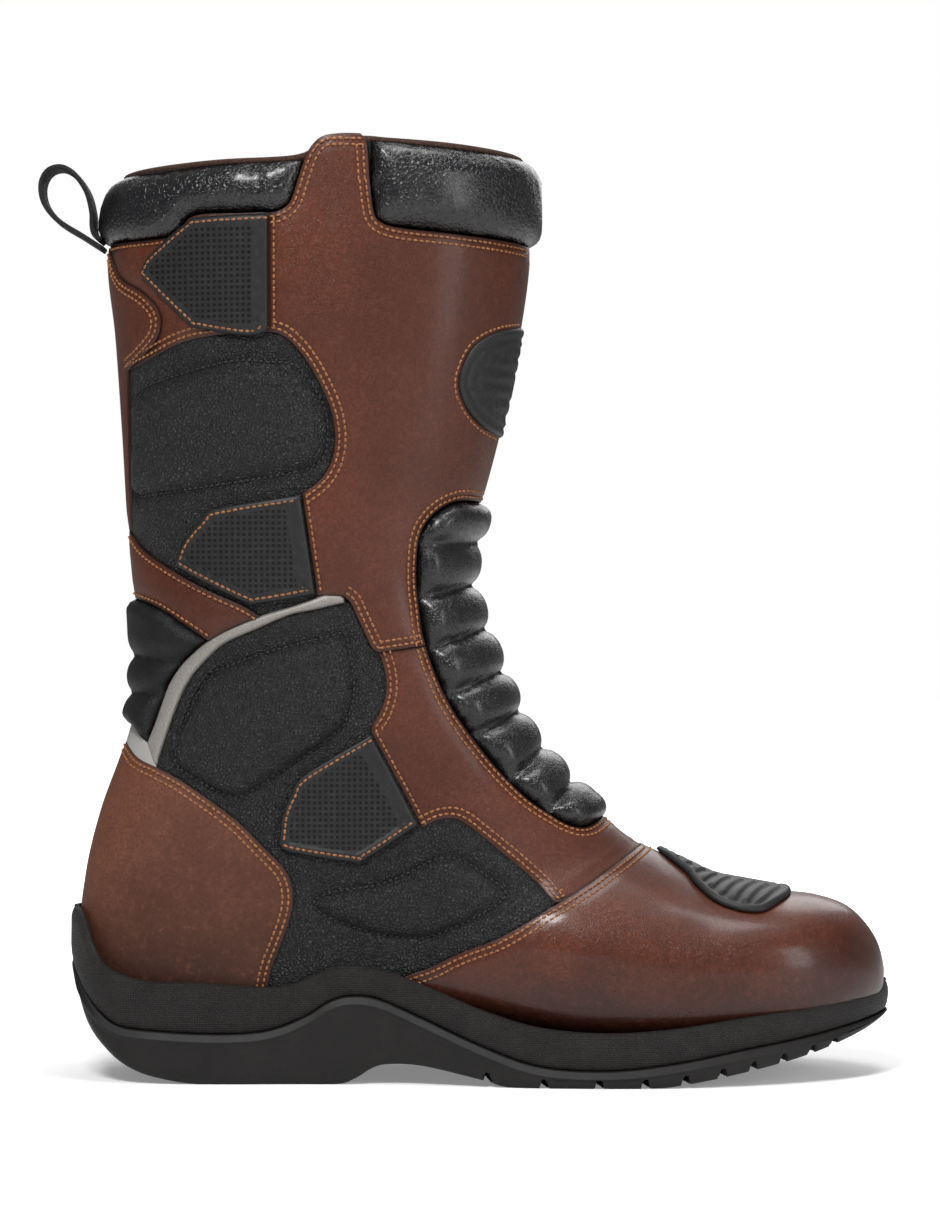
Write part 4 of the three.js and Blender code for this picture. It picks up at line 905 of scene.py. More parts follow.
# ---- Calf panels -------------------------------------------------------------------------------------
# Black textured leather behind the calf, with a wide foam pad quilted into its upper part.
calf_top_edge = [[77, 276], [57, 275], [44, 272.5], [30.5, 266.5], [23, 263.5]]
calf_front_edge = [
    [88.5, 217], [95, 222], [99, 228.5], [100.5, 236.5], [99.5, 245.5], [96, 255], [89.5, 266.5], [82.5, 274],
    [77, 276],
]
calf_pad = [
    [24.5, 252.5], [28, 256.5], [43, 261], [63, 265.5], [76, 265], [86.5, 263.5], [94, 254], [97.5, 246],
    [98, 238], [96.5, 230.5], [90, 226], [76, 223], [51.5, 219.5], [30, 216.8], [26, 217], [24.5, 220],
    [24.3, 236], [24.5, 252.5],
]
calf_pad_by_zip = [
    [24.5, 252.5], [28, 256.5], [43, 261], [63, 264.5], [74, 264.5], [79, 262], [80.5, 256], [82, 240],
    [82.5, 230], [80.5, 225], [76, 223], [51.5, 219.5], [30, 216.8], [26, 217], [24.5, 220], [24.3, 236],
    [24.5, 252.5],
]
calf_rear_run = [[23, 263.5], [23.2, 232], [23.6, 204.5]]
for side, word, front_runs, pad in (
    (-1, "lateral", [[[94, 179.5], [88.5, 217]], calf_front_edge], calf_pad),
    (1, "medial", [[[94, 179.5], [92, 184]], [[92, 184], [84.86, 276]], [[84.86, 276], [77, 276]]],
        calf_pad_by_zip),
):
    calf = cut(f"{word}_calf_panel", {side: [
        calf_top_edge, calf_rear_run, [[23.6, 204.5], [22.5, 204.5]], band_top_edge,
        [[73, 172], [86, 176], [94, 179.5]],
    ] + front_runs}, GROUND, quilted(3.0, 9), [pad], 2.2)
    dress(thicken(calf, GROUND - UNDERSIDE, 0.4), textured_hide, "textured_leather", f"{word}_calf_panel")

# ---- Rear panels -------------------------------------------------------------------------------------
# Brown leather behind the top of the calf, between the stay and the shaft. On the inner side it carries the
# soft half of the closure tab's fastener.
rear_top_edge = [[15, 310.9], [40.5, 311.7], [48.5, 318.7], [66, 319.3]]
for side, word, front_runs in (
    (-1, "lateral", [[[66, 319.3], [77, 319.5]], [[77, 319.5], [77, 276]]]),
    (1, "medial", [[[66, 319.3], [66, 339]], [[66, 339], [70, 348]], [[70, 348], [79.3, 348]],
        [[79.3, 348], [84.86, 276]],
                   [[84.86, 276], [77, 276]]]),
):
    rear = cut(f"{word}_rear_panel", {side: [stay_edge[::-1], rear_top_edge] + front_runs + [calf_top_edge]},
               LOW_OVERLAY, skived)
    dress(thicken(rear, LOW_OVERLAY - UNDERSIDE, 0.5), brown_hide, "brown_leather", f"{word}_rear_panel")

# ---- Shin plate --------------------------------------------------------------------------------------
# A thin moulded plate let into the foam of the lining over the shin, behind the shaft panel.
shin_plate = cut("shin_plate_insert", both([
    [[169.7, 296], [140, 296]], [[140, 296], [138, 262], [140, 232]], [[140, 232], [158.3, 232]],
    centre_run((158.3, 232), (169.7, 296)),
]), -2.2, spacing=4.0)
dress(thicken(shin_plate, 1.5), stiffener_plastic, "stiffener_plastic", "shin_plate")

# ---- Shaft panel -------------------------------------------------------------------------------------
# The largest hide: the front of the leg and the tall side tab that stands between the two collar pads. On
# the inner side it stops at the zip.
collar_edge = [[113.5, 332], [115, 320], [117.5, 316], [125, 314], [144.5, 312.5], [171.5, 310.6]]
tab_top_edge = [[77, 319.5], [80, 320], [84.5, 323.5], [88.5, 335.5], [91.5, 342.5], [96, 347],
    [103, 348.3], [110, 348.3]]
flex_upper_edge = [
    [154, 214.8], [146.5, 215], [141.5, 213.5], [137, 210.5], [133.5, 206.5], [131, 201], [130, 192],
    [130, 183], [131, 174.5], [132, 166.5], [133.5, 161],
]
shaft_front_runs = [
    [[110, 348.3], [112.5, 344.5], [113.5, 332]], collar_edge, centre_run((171.5, 310.6), (154, 214.8)),
    flex_upper_edge, [[133.5, 161], [116.5, 158.5]], shaft_bottom_edge,
]
shaft = cut("shaft_panel", {
    -1: shaft_front_runs + [[[103, 179.5], [94, 179.5]], [[94, 179.5], [88.5, 217]], calf_front_edge,
                            [[77, 276], [77, 319.5]], tab_top_edge],
    1: shaft_front_runs + [[[103, 179.5], [94, 179.5]], [[94, 179.5], [92, 184]], [[92, 184], [102, 184]],
                           [[102, 184], [89.24, 348.3]], [[89.24, 348.3], [110, 348.3]]],
}, OVERLAY, skived, spacing=2.6)
dress(thicken(shaft, OVERLAY - UNDERSIDE, 0.5), brown_hide, "brown_leather", "shaft_panel")

# ---- Front flex panel --------------------------------------------------------------------------------
# Soft black leather over foam rolls, in front of the ankle. Seven seams part it into eight ribs, which close
# up like a bellows as the shaft leans forward.
soft_hide = hide(
    "black_soft_leather", (0.0040, 0.0040, 0.0050), (0.0085, 0.0085, 0.0100), (0.003, 0.003, 0.003), 900,
    0.6, 0.14, 0.27, 0.35, pillow=0.4, scuffing=0.1, shine=0.4,
)


FAR = 99  # further off than any seam is


def ribbed(seams, height, reach=7.5, edge_reach=6.0):
    """Rolls between seams, which are straight lines in side view: highest halfway from seam to seam."""
    starts, ends = np.array([s for s, _ in seams], float), np.array([e for _, e in seams], float)
    ways = (ends - starts) / np.linalg.norm(ends - starts, axis=1, keepdims=True)

    def shape(points, from_edge, from_crease, in_crease):
        offset = points[:, None, [0, 2]] - starts
        below = ways[:, 0] * -offset[:, :, 1] + ways[:, 1] * offset[:, :, 0]
        above_gap = np.where(below >= 0, below, FAR).min(1)
        below_gap = np.where(below < 0, -below, FAR).min(1)
        half = np.where((above_gap < FAR) & (below_gap < FAR), (above_gap + below_gap) / 2, reach)
        share = np.clip(np.minimum(above_gap, below_gap) / half, 0, 1)
        roll = np.sqrt(1 - (1 - share) ** 2)
        border = np.sqrt(1 - (1 - np.clip(from_edge / edge_reach, 0, 1)) ** 2)
        return height * roll * border
    return shape


FILLING_FRAMES = 20


def swell(obj, air, spare, limit):
    """Presses a held sheet outwards from within, with some leather to spare, so that it fills and creases."""
    rest = [v.co.copy() for v in obj.data.vertices]
    held = [i for i, v in enumerate(obj.data.attributes["held"].data) if v.value > 0.5]
    group = obj.vertex_groups.new(name="held")
    group.add(held, 1.0, "REPLACE")
    cloth = obj.modifiers.new("filling", "CLOTH")
    cloth.settings.quality = 5
    cloth.settings.mass = 0.15
    cloth.settings.tension_stiffness = cloth.settings.compression_stiffness = 25
    cloth.settings.shear_stiffness = 12
    cloth.settings.bending_stiffness = 1.5
    cloth.settings.vertex_group_mass = "held"
    cloth.settings.shrink_min = -spare
    cloth.settings.use_pressure = True
    cloth.settings.uniform_pressure_force = air
    cloth.settings.effector_weights.gravity = 0
    cloth.collision_settings.use_collision = False
    for moment in range(1, FILLING_FRAMES + 1):
        scene.frame_set(moment)
    filled = obj.evaluated_get(bpy.context.evaluated_depsgraph_get()).data.vertices
    moves = [after.co - before for after, before in zip(filled, rest)]
    obj.modifiers.remove(cloth)
    for vert, before, move in zip(obj.data.vertices, rest, moves):
        if move.length > limit * MM:
            move = move * (limit * MM / move.length)
        vert.co = before + move
    scene.frame_set(1)


def smoothed(obj, times=1):
    """Evens out a sheet's net a little, without moving its edge."""
    bm = bmesh.new()
    bm.from_mesh(obj.data)
    free = [v for v in bm.verts if not v.is_boundary]
    for _ in range(times):
        bmesh.ops.smooth_vert(bm, verts=free, factor=0.35, use_axis_x=True, use_axis_y=True, use_axis_z=True)
    bm.to_mesh(obj.data)
    bm.free()
    return obj


front_seams = [
    [[131, 199], [149, 200]], [[130, 178.5], [148, 183]], [[133, 159], [154, 166.5]],
    [[139, 142], [160, 150]], [[148, 125.5], [166, 135]], [[163, 109], [176, 121.5]], [[178, 98], [187, 109]],
]
front_flex = cut(
    "front_flex_panel", both([flex_upper_edge, flex_lower_edge, centre_run((199.6, 96.2), (154, 214.8))]),
    -0.4,
    ribbed(front_seams, 6.2), spacing=1.7,
)
swell(front_flex, 3.0, 0.03, 1.0)
smoothed(front_flex)
dress(thicken(front_flex, 0.8), soft_hide, "black_leather", "front_flex_panel")

# ---- Rear flex panel ---------------------------------------------------------------------------------
# The same soft leather behind the ankle, over three flatter rolls.
matt_soft_hide = hide(
    "black_matt_leather", (0.006, 0.006, 0.007), (0.012, 0.012, 0.0135), (0.004, 0.004, 0.004), 1000, 0.3,
    0.12, 0.50, 0.0, pillow=0.2, scuffing=0.3,
)
rear_seams = [[[46, 154], [26, 157]], [[38, 143], [25, 143]]]
rear_flex = cut(
    "rear_flex_panel", both([
        band_bottom_edge, [[54, 163], [52.5, 162]], piping_outer_edge[4:], [[30.5, 124.5], [23.2, 131.6]],
        centre_run((23.2, 131.6), (25.2, 179), front=False),
    ]), -0.4, ribbed([[b, a] for a, b in rear_seams], 4.6, 8, 4.5), spacing=1.7,
)
swell(rear_flex, 2.5, 0.02, 0.8)
smoothed(rear_flex)
dress(thicken(rear_flex, 0.8), matt_soft_hide, "black_leather", "rear_flex_panel")

# ---- Collar ------------------------------------------------------------------------------------------
# Two thick rolls of pebbled black leather over foam, one round the back and one round the shin. Each is sewn
# in below, closed against the side tab, and turned over the rim onto the lining.
pebbled_hide = hide(
    "black_pebbled_leather", (0.0035, 0.0035, 0.0045), (0.0080, 0.0080, 0.0095), (0.003, 0.003, 0.003),
    520, 0.0, 0.26, 0.26, 0.3, pillow=0.2, scuffing=0.0, shine=0.45,
)


def rolled(height, reach):
    def shape(points, from_edge, from_crease, in_crease):
        return height * np.sqrt(1 - (1 - np.clip(from_edge / reach, 0, 1)) ** 2)
    return shape


collar_front = cut("collar_front", both([
    [[113.5, 332], [114, 345.8]], [[114, 345.8], [121, 345.6], [144.5, 344], [169, 342.6], [172.5, 342.4]],
    centre_run((171.2, 342.3), (171.5, 310.6)), collar_edge[::-1],
]), -0.6, rolled(6.4, 11), spacing=2.0, bands=(0.5, 1.4, 2.8))
swell(collar_front, 4.0, 0.03, 1.2)
smoothed(collar_front)
dress(thicken(collar_front, 1.0), pebbled_hide, "black_leather", "collar_front")

collar_rear_edge = [[77, 319.5], [80, 320], [84.5, 323.5], [88.5, 335.5], [89.6, 338.6]]
collar_rear_top = [[56.5, 337.5], [35.5, 335.8], [22.5, 336], [19.5, 335.5]]
collar_rear = cut("collar_rear", {
    -1: [rear_top_edge, [[66, 319.3], [77, 319.5]], collar_rear_edge, [[89.6, 338.6], [72, 338]],
         [[72, 338]] + collar_rear_top, centre_run((19.4, 335.4), (15, 310.9), front=False)],
    1: [rear_top_edge, [[66, 319.3], [66, 338]], [[66, 338]] + collar_rear_top,
        centre_run((19.4, 335.4), (15, 310.9), front=False)],
}, -0.6, rolled(5.6, 9), spacing=2.0, bands=(0.5, 1.4, 2.8))
swell(collar_rear, 4.0, 0.03, 1.2)
smoothed(collar_rear)
dress(thicken(collar_rear, 1.0), pebbled_hide, "black_leather", "collar_rear")

# ---- Rim binding -------------------------------------------------------------------------------------
# The raw top edge of the lining is bound with a strip of brown brushed cloth, so it looks a little fuzzy.
brushed_cloth = speckled("brown_brushed_cloth", (0.020, 0.010, 0.008), (0.075, 0.038, 0.026), 1500, 1.0, 0.5)


def binding_place(share_round, share_across):
    """A narrow roll over the rim, from the outer face of the lining to its inner face."""
    u = 1 - np.abs(1 - 2 * share_round)
    v_rim = np.interp(u, rim_places[:, 1], rim_places[:, 0])
    side = np.where(share_round < 0.5, -1, 1)
    turn = share_across * 2 * math.pi
    points, normal = on_last(v_rim, u, side)
    lift = LINING_FACE - LINING_THICKNESS / 2 + np.cos(turn) * (LINING_THICKNESS / 2 + 0.35)
    points = points + normal * lift[:, None]
    points[:, 2] += np.sin(turn) * 1.7 - 0.5
    return points


binding_bm = woven(200, 18, binding_place)
bmesh.ops.recalc_face_normals(binding_bm, faces=binding_bm.faces)
rim_binding = new_object("rim_binding", binding_bm)
rim_binding.data.shade_smooth()
dress(rim_binding, brushed_cloth, "lining_fabric", body="shaft")

# ---- Grip patches ------------------------------------------------------------------------------------
# Moulded rubber patches sewn over the leather where the boot rubs against the machine. Each has a flat
# border for the thread, a field of small square dimples, and two upright ribs along its front edge.
PATCH_LIFT = 2.9
DIMPLE_PITCH = 2.1
dimpled_rubber, dimple_tree, dimple_surface = new_material("dimpled_rubber")
pattern_place = wire(dimple_tree, "ShaderNodeSeparateXYZ",
    {0: dimple_tree.nodes.new("ShaderNodeUVMap").outputs["UV"]})
wave = [
    maths(dimple_tree, "SINE", maths(dimple_tree, "MULTIPLY", pattern_place.outputs[axis],
        2 * math.pi / (DIMPLE_PITCH * MM)))
    for axis in ("X", "Y")
]
hollow = ramp(dimple_tree, maths(dimple_tree, "MINIMUM", *wave), -0.35, -0.1)
in_field = ramp(
    dimple_tree, wire(dimple_tree, "ShaderNodeAttribute", attribute_name="field").outputs["Fac"], 3.6, 4.0
)
hollow = maths(dimple_tree, "MULTIPLY", hollow, in_field)
rubber_dust = ramp(dimple_tree, noise(dimple_tree, object_place(dimple_tree), 420, 6, 0.7), 0.45, 0.8)
rubber_colour = mixed(dimple_tree, rubber_dust, (0.0150, 0.0140, 0.0145), (0.030, 0.029, 0.029))
# The dimples are painted near black, as painted shade in the hollows.
dimple_tree.links.new(
    mixed(dimple_tree, hollow, rubber_colour, (0.0008, 0.0008, 0.0008)), dimple_surface.inputs["Base Color"]
)
dimple_surface.inputs["Roughness"].default_value = 0.48
dimple_surface.inputs["Specular IOR Level"].default_value = 0.3
bumped(dimple_tree, dimple_surface, maths(dimple_tree, "ADD", hollow, maths(
    dimple_tree, "MULTIPLY", rubber_dust, -0.05)), -0.7)


def to_line(points, line):
    """Distance of each point from a straight line drawn in side view."""
    (ax, az), (bx, bz) = line
    length = math.hypot(bx - ax, bz - az)
    return np.abs((points[:, 0] - ax) * (bz - az) - (points[:, 2] - az) * (bx - ax)) / length


def patch_relief(front_line):
    def shape(points, from_edge, from_crease, in_crease):
        border = -0.9 * np.exp(-from_edge / 0.5) - 0.55 * ease(3.1, 3.5, from_edge)
        along = to_line(points, front_line)
        ribs = sum(0.55 * np.exp(-(((along - at) / 0.55) ** 2)) for at in (2.4, 4.8))
        return border + ribs * ease(1.0, 2.2, from_edge)
    return shape


def patch_field(front_line):
    return lambda points, from_edge: np.minimum(from_edge, to_line(points, front_line) - 2.4)


for name, node, sides, front_line, runs in (
    ("upper_patch", "{}_patch", (-1,), [[76.6, 319], [76.6, 276.5]], [
        [[29.5, 299], [33, 305], [46.5, 316], [51.5, 318], [76.6, 319]], [[76.6, 319], [76.6, 276.5]],
        [[76.6, 276.5], [69.5, 274.5], [51.5, 277.5], [47, 280], [31.5, 296], [29.5, 299]]]),
    ("middle_patch", "middle_patch", (-1,), [[88, 216.6], [93.2, 180.5]], [
        [[43, 193.5], [46, 200.5], [52.5, 208], [57, 211.5], [88, 216.6]], [[88, 216.6], [93.2, 180.2]],
        [[93.2, 180.2], [74, 177], [67.5, 177.5], [44.5, 189.5], [43, 193.5]]]),
    ("lower_patch", "lower_patch", BOTH, [[113.3, 128.5], [131, 95]], [
        [[80, 89.5], [81, 98.5], [84, 106], [89, 113.5], [113.3, 128.5]], [[113.3, 128.5], [131, 95]],
        [[131, 95], [111.5, 82.5], [107.5, 81.5], [83, 85.5], [80, 89.5]]]),
):
    for side in sides:
        label = name if len(sides) == 1 else f"{'lateral' if side < 0 else 'medial'}_{name}"
        patch = cut(
            f"rubber_{label}", {side: runs}, PATCH_LIFT, patch_relief(front_line), spacing=1.5,
            bands=(0.5, 1.2, 3.0, 3.6), field=patch_field(front_line),
        )
        dress(thicken(patch, 2.5), dimpled_rubber, "patch_rubber", label)

# ---- Shin badge --------------------------------------------------------------------------------------
# An oval rubber guard that wraps the shin. Its figure is plain: a raised rim, an oval bead and level ribs.
plain_rubber = speckled("moulded_rubber", (0.0115, 0.0115, 0.0125), (0.022, 0.0215, 0.022), 900, 0.5, 0.08)
BADGE_RIB = 5.2


def badge_relief(points, from_edge, from_crease, in_crease):
    rim = -0.9 * np.exp(-from_edge / 0.5) - 0.7 * ease(2.3, 2.8, from_edge)
    bead = 0.75 * np.exp(-(((from_edge - 5.6) / 0.8) ** 2))
    ribs = 0.6 * ease(-0.25, 0.25, np.sin(points[:, 2] * 2 * math.pi / BADGE_RIB)) * ease(7.6, 8.2, from_edge)
    return rim + bead + ribs


badge_run = [
    [168, 280.6], [157.5, 277], [150, 271.5], [145.5, 262], [145.2, 255], [148.5, 247.5], [154, 242],
    [160, 239.6],
]
badge = cut(
    "shin_badge_guard", both([badge_run, centre_run((160, 239.6), (168, 280.6))]), PATCH_LIFT, badge_relief,
    spacing=1.1, bands=(0.5, 1.2, 2.3, 2.8, 5.6), flat="front",
)
dress(thicken(badge, 2.5), plain_rubber, "patch_rubber", "shin_badge")

# ---- Gear shift pad ----------------------------------------------------------------------------------
# A thicker rubber pad on the toe, ribbed across so that the gear lever does not slip, with a rolled edge.
PAD_RIB = 5.0


def pad_relief(points, from_edge, from_crease, in_crease):
    bead = 0.5 * np.exp(-(((from_edge - 1.7) / 1.0) ** 2)) - 1.4 * np.exp(-from_edge / 0.5)
    lean = points[:, 0] + 0.35 * np.abs(points[:, 1])
    ribs = ease(-0.35, 0.35, np.sin(lean * 2 * math.pi / PAD_RIB)) * ease(4.0, 5.0, from_edge)
    return bead + 0.9 * ribs - 0.5 * ease(2.9, 3.6, from_edge)


pad_run = [
    [219.5, 82.4], [225.5, 78], [230, 74.5], [233.5, 70], [239, 65.5], [245.5, 62.5], [252.5, 61],
    [258.5, 61], [263.5, 63], [271.5, 66.2],
]
shift_pad = cut(
    "gear_shift_pad", both([pad_run, centre_run((271.5, 66.2), (219.5, 82.4))]), 3.6, pad_relief, spacing=1.2,
    bands=(0.5, 1.2, 2.2, 3.2), flat="top",
)
dress(thicken(shift_pad, 2.6), plain_rubber, "patch_rubber", "shift_pad")

# ---- Sole unit ---------------------------------------------------------------------------------------
# Two bands of moulded charcoal rubber. The upper one is finely knurled and rises into a cup behind the
# heel. The lower one carries the tread. A deep groove and a fine mould line run between them.
sole_plan = [
    [0.5, 0], [3, -18], [12, -32], [30, -40], [60, -42], [95, -41.5], [125, -43.5], [155, -50.5],
    [185, -55.5], [215, -56], [245, -51.5], [270, -42], [290, -28], [303, -11], [308, 6], [305, 22],
    [294, 37], [275, 49], [250, 57], [220, 60], [190, 57], [160, 51], [125, 43.5], [95, 41], [60, 42],
    [30, 40], [12, 32], [3, 18], [0.5, 0],
]
TOE_POINT = 14  # the plan's point at the toe
sole_top_edge = np.array([
    [0.5, 63.5], [3, 62.6], [6, 57.5], [9, 50], [13, 44], [20.5, 40], [33.5, 37.5], [54, 37], [75, 35.5],
    [85, 37], [98.5, 42.5], [106, 43.5], [116, 42.5], [126.5, 39], [136.5, 35], [154, 28], [175, 22],
    [200.5, 20], [225.5, 21.5], [250.5, 25], [275.5, 28.5], [309, 35.5],
])
sole_split_edge = np.array([
    [-1, 46], [6, 33.5], [13, 25.5], [20.5, 21], [33.5, 19.5], [54, 18.5], [70, 19], [80, 21], [90.5, 25.5],
    [98.5, 30.5], [106, 32.5], [116, 31.5], [131.5, 25], [154, 15], [175, 8], [200.5, 6.5], [225.5, 9],
    [250.5, 13.5], [275.5, 17.5], [310, 24],
])
tread_edge = np.array([
    [-1, 45], [2, 38], [4, 31], [8, 21], [15.5, 12], [23.5, 6], [33.5, 2.5], [50, 0], [75, 0], [100, 0],
    [107.5, 2], [114, 6], [120, 7.5], [132.5, 7], [154, 2.5], [165, 0], [190, 0], [215, 0], [228, 1],
    [250.5, 5], [275.5, 10.5], [295, 17], [306, 22], [310, 23.4],
])
ALONG_SOLE = 560
closed_plan = np.array([sole_plan[-2]] + sole_plan + [sole_plan[1]], float)


def plan_half(points):
    """Half of the sole's plan, from heel to toe, in even steps, with the directions that face outwards."""
    fine = between(closed_plan, np.linspace(*points, 900))
    length = np.concatenate([[0], np.cumsum(np.linalg.norm(np.diff(fine, axis=0), axis=1))])
    even = np.linspace(0, length[-1], ALONG_SOLE + 1)
    line = np.stack([np.interp(even, length, column) for column in fine.T], 1)
    way = np.gradient(line, axis=0)
    way /= np.linalg.norm(way, axis=1, keepdims=True)
    out = np.stack([way[:, 1], -way[:, 0]], 1)
    if np.sum(out * (line - (150, 3))) < 0:
        out = -out
    out[0], out[-1] = (-1, 0), (1, 0)
    return line, out, even


outer_plan = plan_half((1, 1 + TOE_POINT))
inner_plan = plan_half((len(sole_plan), 1 + TOE_POINT))


def curve_at(edge, x):
    fine = smooth_run(edge, 1.0)
    return np.interp(x, fine[:, 0], fine[:, 1])


sole_centre = (outer_plan[0] + inner_plan[0]) / 2


def wall_row(plan, top, bottom, low_end, distance, out, notch=0.0):
    """A row of a wall, distance millimetres from its top or its low end, standing out by out."""
    line, facing, _ = plan
    high, low = curve_at(top, line[:, 0]), curve_at(bottom, line[:, 0])
    tall = np.maximum(0.1, high - low)
    step = np.minimum(distance, tall / 2)
    z = low + np.maximum(step, np.minimum(notch, tall / 2)) if low_end else high - step
    flat = line + facing * (out * np.minimum(1, tall / 6))[:, None]
    return np.column_stack([flat, z])


def towards_centre(row, amount, drop):
    away = sole_centre - row[:, :2]
    reach = np.maximum(1e-6, np.linalg.norm(away, axis=1))
    flat = row[:, :2] + away * np.minimum(0.95, amount / reach)[:, None]
    return np.column_stack([flat, row[:, 2] - drop])


def sole_band(name, top, bottom, profile, floor_rows, ledge, tread=lambda x, y: 0 * x):
    """A band of the sole: one closed ring of rows, pulled along the sole from the heel to the toe."""
    walls = [
        [wall_row(plan, top, bottom, *row, notch=tread(*plan[0].T)) for row in profile]
        for plan in (outer_plan, inner_plan)
    ]
    floor = []
    for share in np.linspace(0, 1, floor_rows + 2)[1:-1]:
        row = walls[0][-1] * (1 - share) + walls[1][-1] * share
        row[:, 2] = curve_at(bottom, row[:, 0]) + tread(row[:, 0], row[:, 1])
        floor.append(row)
    inner_ledge = [towards_centre(walls[1][0], reach, drop) for reach, drop in ledge]
    outer_ledge = [towards_centre(walls[0][0], reach, drop) for reach, drop in ledge[::-1]]
    ring = np.stack(walls[0] + floor + walls[1][::-1] + inner_ledge + outer_ledge + walls[0][:1])
    last_row = len(ring) - 1
    bm = woven(ALONG_SOLE, last_row, lambda along, around: ring[
        np.round(around * last_row).astype(int), np.round(along * ALONG_SOLE).astype(int)
    ], (440, 0))
    pattern = bm.loops.layers.uv["pattern"]
    for face in bm.faces:
        for corner in face.loops:
            corner[pattern].uv.y = corner.vert.co.z
    bmesh.ops.recalc_face_normals(bm, faces=bm.faces)
    band = new_object(name, bm)
    band.data.shade_smooth()
    return band


TREAD_DEPTH, TREAD_SLOT = 3.6, 1.3
fore_slots = np.array([156, 176, 196, 213, 228, 242, 254, 266, 278, 287.5])
heel_slots = np.array([26, 42, 58, 74, 90])


TREAD_MIDDLE = 2  # the line the tread is even about, a little towards the inner side
LONG_SLOT_AT = 24


def tread_pattern(x, y):
    """Depth of the tread: slanted slots across the forefoot, and blocks under the heel inside its rim."""
    def slot(places, lean):
        nearest = np.min(np.abs((x - lean * np.abs(y - TREAD_MIDDLE))[:, None] - places), axis=1)
        return 1 - ease(TREAD_SLOT - 0.5, TREAD_SLOT + 0.5, nearest)
    spine = np.abs(y - TREAD_MIDDLE)
    fore = slot(fore_slots - 7, 0.14) * ease(5, 6.5, spine) * ease(146, 150, x)
    long_slot = 1 - ease(TREAD_SLOT, TREAD_SLOT + 1, np.abs(spine - LONG_SLOT_AT))
    long_slot = long_slot * ease(160, 164, x) * (1 - ease(262, 266, x))
    heel = slot(heel_slots, -0.1) * (1 - ease(31, 32.5, spine)) * ease(5, 6.5, spine) * (1 - ease(95, 97, x))
    return TREAD_DEPTH * np.clip(np.maximum(np.maximum(fore, 0.6 * long_slot), heel), 0, 1)


OUTSOLE_PROFILE = [
    (False, 0.0, -1.2), (False, 0.35, -0.5), (False, 0.8, 0.0), (False, 2.5, 0.1), (False, 2.8, 0.45),
    (False, 3.2, 0.5), (False, 3.6, 0.1), (False, 5.0, 0.0), (True, 6.5, 0.0), (True, 4.0, 0.0),
    (True, 2.2, -0.25), (True, 1.0, -0.8), (True, 0.3, -1.5), (True, 0.0, -2.4),
]
MIDSOLE_PROFILE = [
    (False, 0.0, -2.6), (False, 0.4, -1.3), (False, 1.1, -0.5), (False, 2.2, 0.0), (False, 3.8, 0.4),
    (True, 7.0, 0.5), (True, 4.2, 0.3), (True, 2.4, 0.0), (True, 1.0, -0.5), (True, 0.3, -1.3),
    (True, 0.0, -2.2),
]


def sole_rubber(name, dark, light, knurl_pitch, knurl_depth):
    material, tree, surface = new_material(name)
    place = object_place(tree)
    dust = ramp(tree, noise(tree, place, 90, 7, 0.7), 0.35, 0.75)
    scuffs = ramp(tree, noise(tree, place, 700, 6, 0.8), 0.56, 0.75)
    colour = mixed(tree, dust, dark, light)
    scuffed = mixed(tree, maths(tree, "MULTIPLY", scuffs, 0.3), colour, [2.2 * c for c in light])
    tree.links.new(scuffed, surface.inputs["Base Color"])
    surface.inputs["Roughness"].default_value = 0.55
    surface.inputs["Specular IOR Level"].default_value = 0.3
    at = wire(tree, "ShaderNodeSeparateXYZ", {0: tree.nodes.new("ShaderNodeUVMap").outputs["UV"]}).outputs
    both_ways = [
        maths(tree, "SINE", maths(tree, "MULTIPLY", maths(tree, way, at["X"], at["Y"]),
            2 * math.pi / (knurl_pitch * MM)))
        for way in ("ADD", "SUBTRACT")
    ]
    knurls = maths(tree, "MULTIPLY", maths(tree, "MULTIPLY", *both_ways), knurl_depth)
    skin = maths(tree, "MULTIPLY", noise(tree, place, 1500, 4), 0.12)
    bumped(tree, surface, maths(tree, "ADD", knurls, skin), 1.0)
    return material


knurled_rubber = sole_rubber("knurled_sole_rubber", (0.0125, 0.0108, 0.0102), (0.0215, 0.0190, 0.0180),
    1.6, 0.25)
tread_rubber = sole_rubber("tread_rubber", (0.0072, 0.0062, 0.0059), (0.0120, 0.0106, 0.0100), 2.0, 0.0)
midsole = sole_band("midsole_band", sole_top_edge, sole_split_edge, MIDSOLE_PROFILE, 2, ((2, 0.0), (9, 1.0)))
dress(midsole, knurled_rubber, "sole_rubber", "midsole", body="foot")
outsole = sole_band(
    "outsole_band", sole_split_edge, tread_edge, OUTSOLE_PROFILE, 34, ((3, 0.0), (9, 0.0)), tread_pattern
)
dress(outsole, tread_rubber, "sole_rubber", "outsole", body="foot")

# ---- Zip ---------------------------------------------------------------------------------------------
# A metal zip runs up the inner side between the two halves of the shaft. Its teeth are single castings
# clamped on the tapes' edges, and the slider rides on them with a pierced puller on a bridge.
ZIP_TOP, ZIP_BOTTOM = np.array([88, 300]), np.array([97, 184])
SLIDER_Z = 284  # height of the slider's centre when shut
TOOTH_PITCH = 2.4
gunmetal, gunmetal_tree, gunmetal_surface = new_material("gunmetal")
rubbed = ramp(gunmetal_tree, noise(gunmetal_tree, object_place(gunmetal_tree), 500, 5, 0.7), 0.4, 0.7)
gunmetal_tree.links.new(mixed(gunmetal_tree, rubbed, (0.10, 0.10, 0.105), (0.26, 0.255, 0.25)),
                        gunmetal_surface.inputs["Base Color"])
gunmetal_tree.links.new(maths(gunmetal_tree, "MULTIPLY_ADD", rubbed, 0.15, 0.28),
    gunmetal_surface.inputs["Roughness"])
gunmetal_surface.inputs["Metallic"].default_value = 1.0
tape_weave, tape_tree, tape_surface = new_material("woven_tape")
tape_place = wire(tape_tree, "ShaderNodeSeparateXYZ", {0: object_place(tape_tree)}).outputs
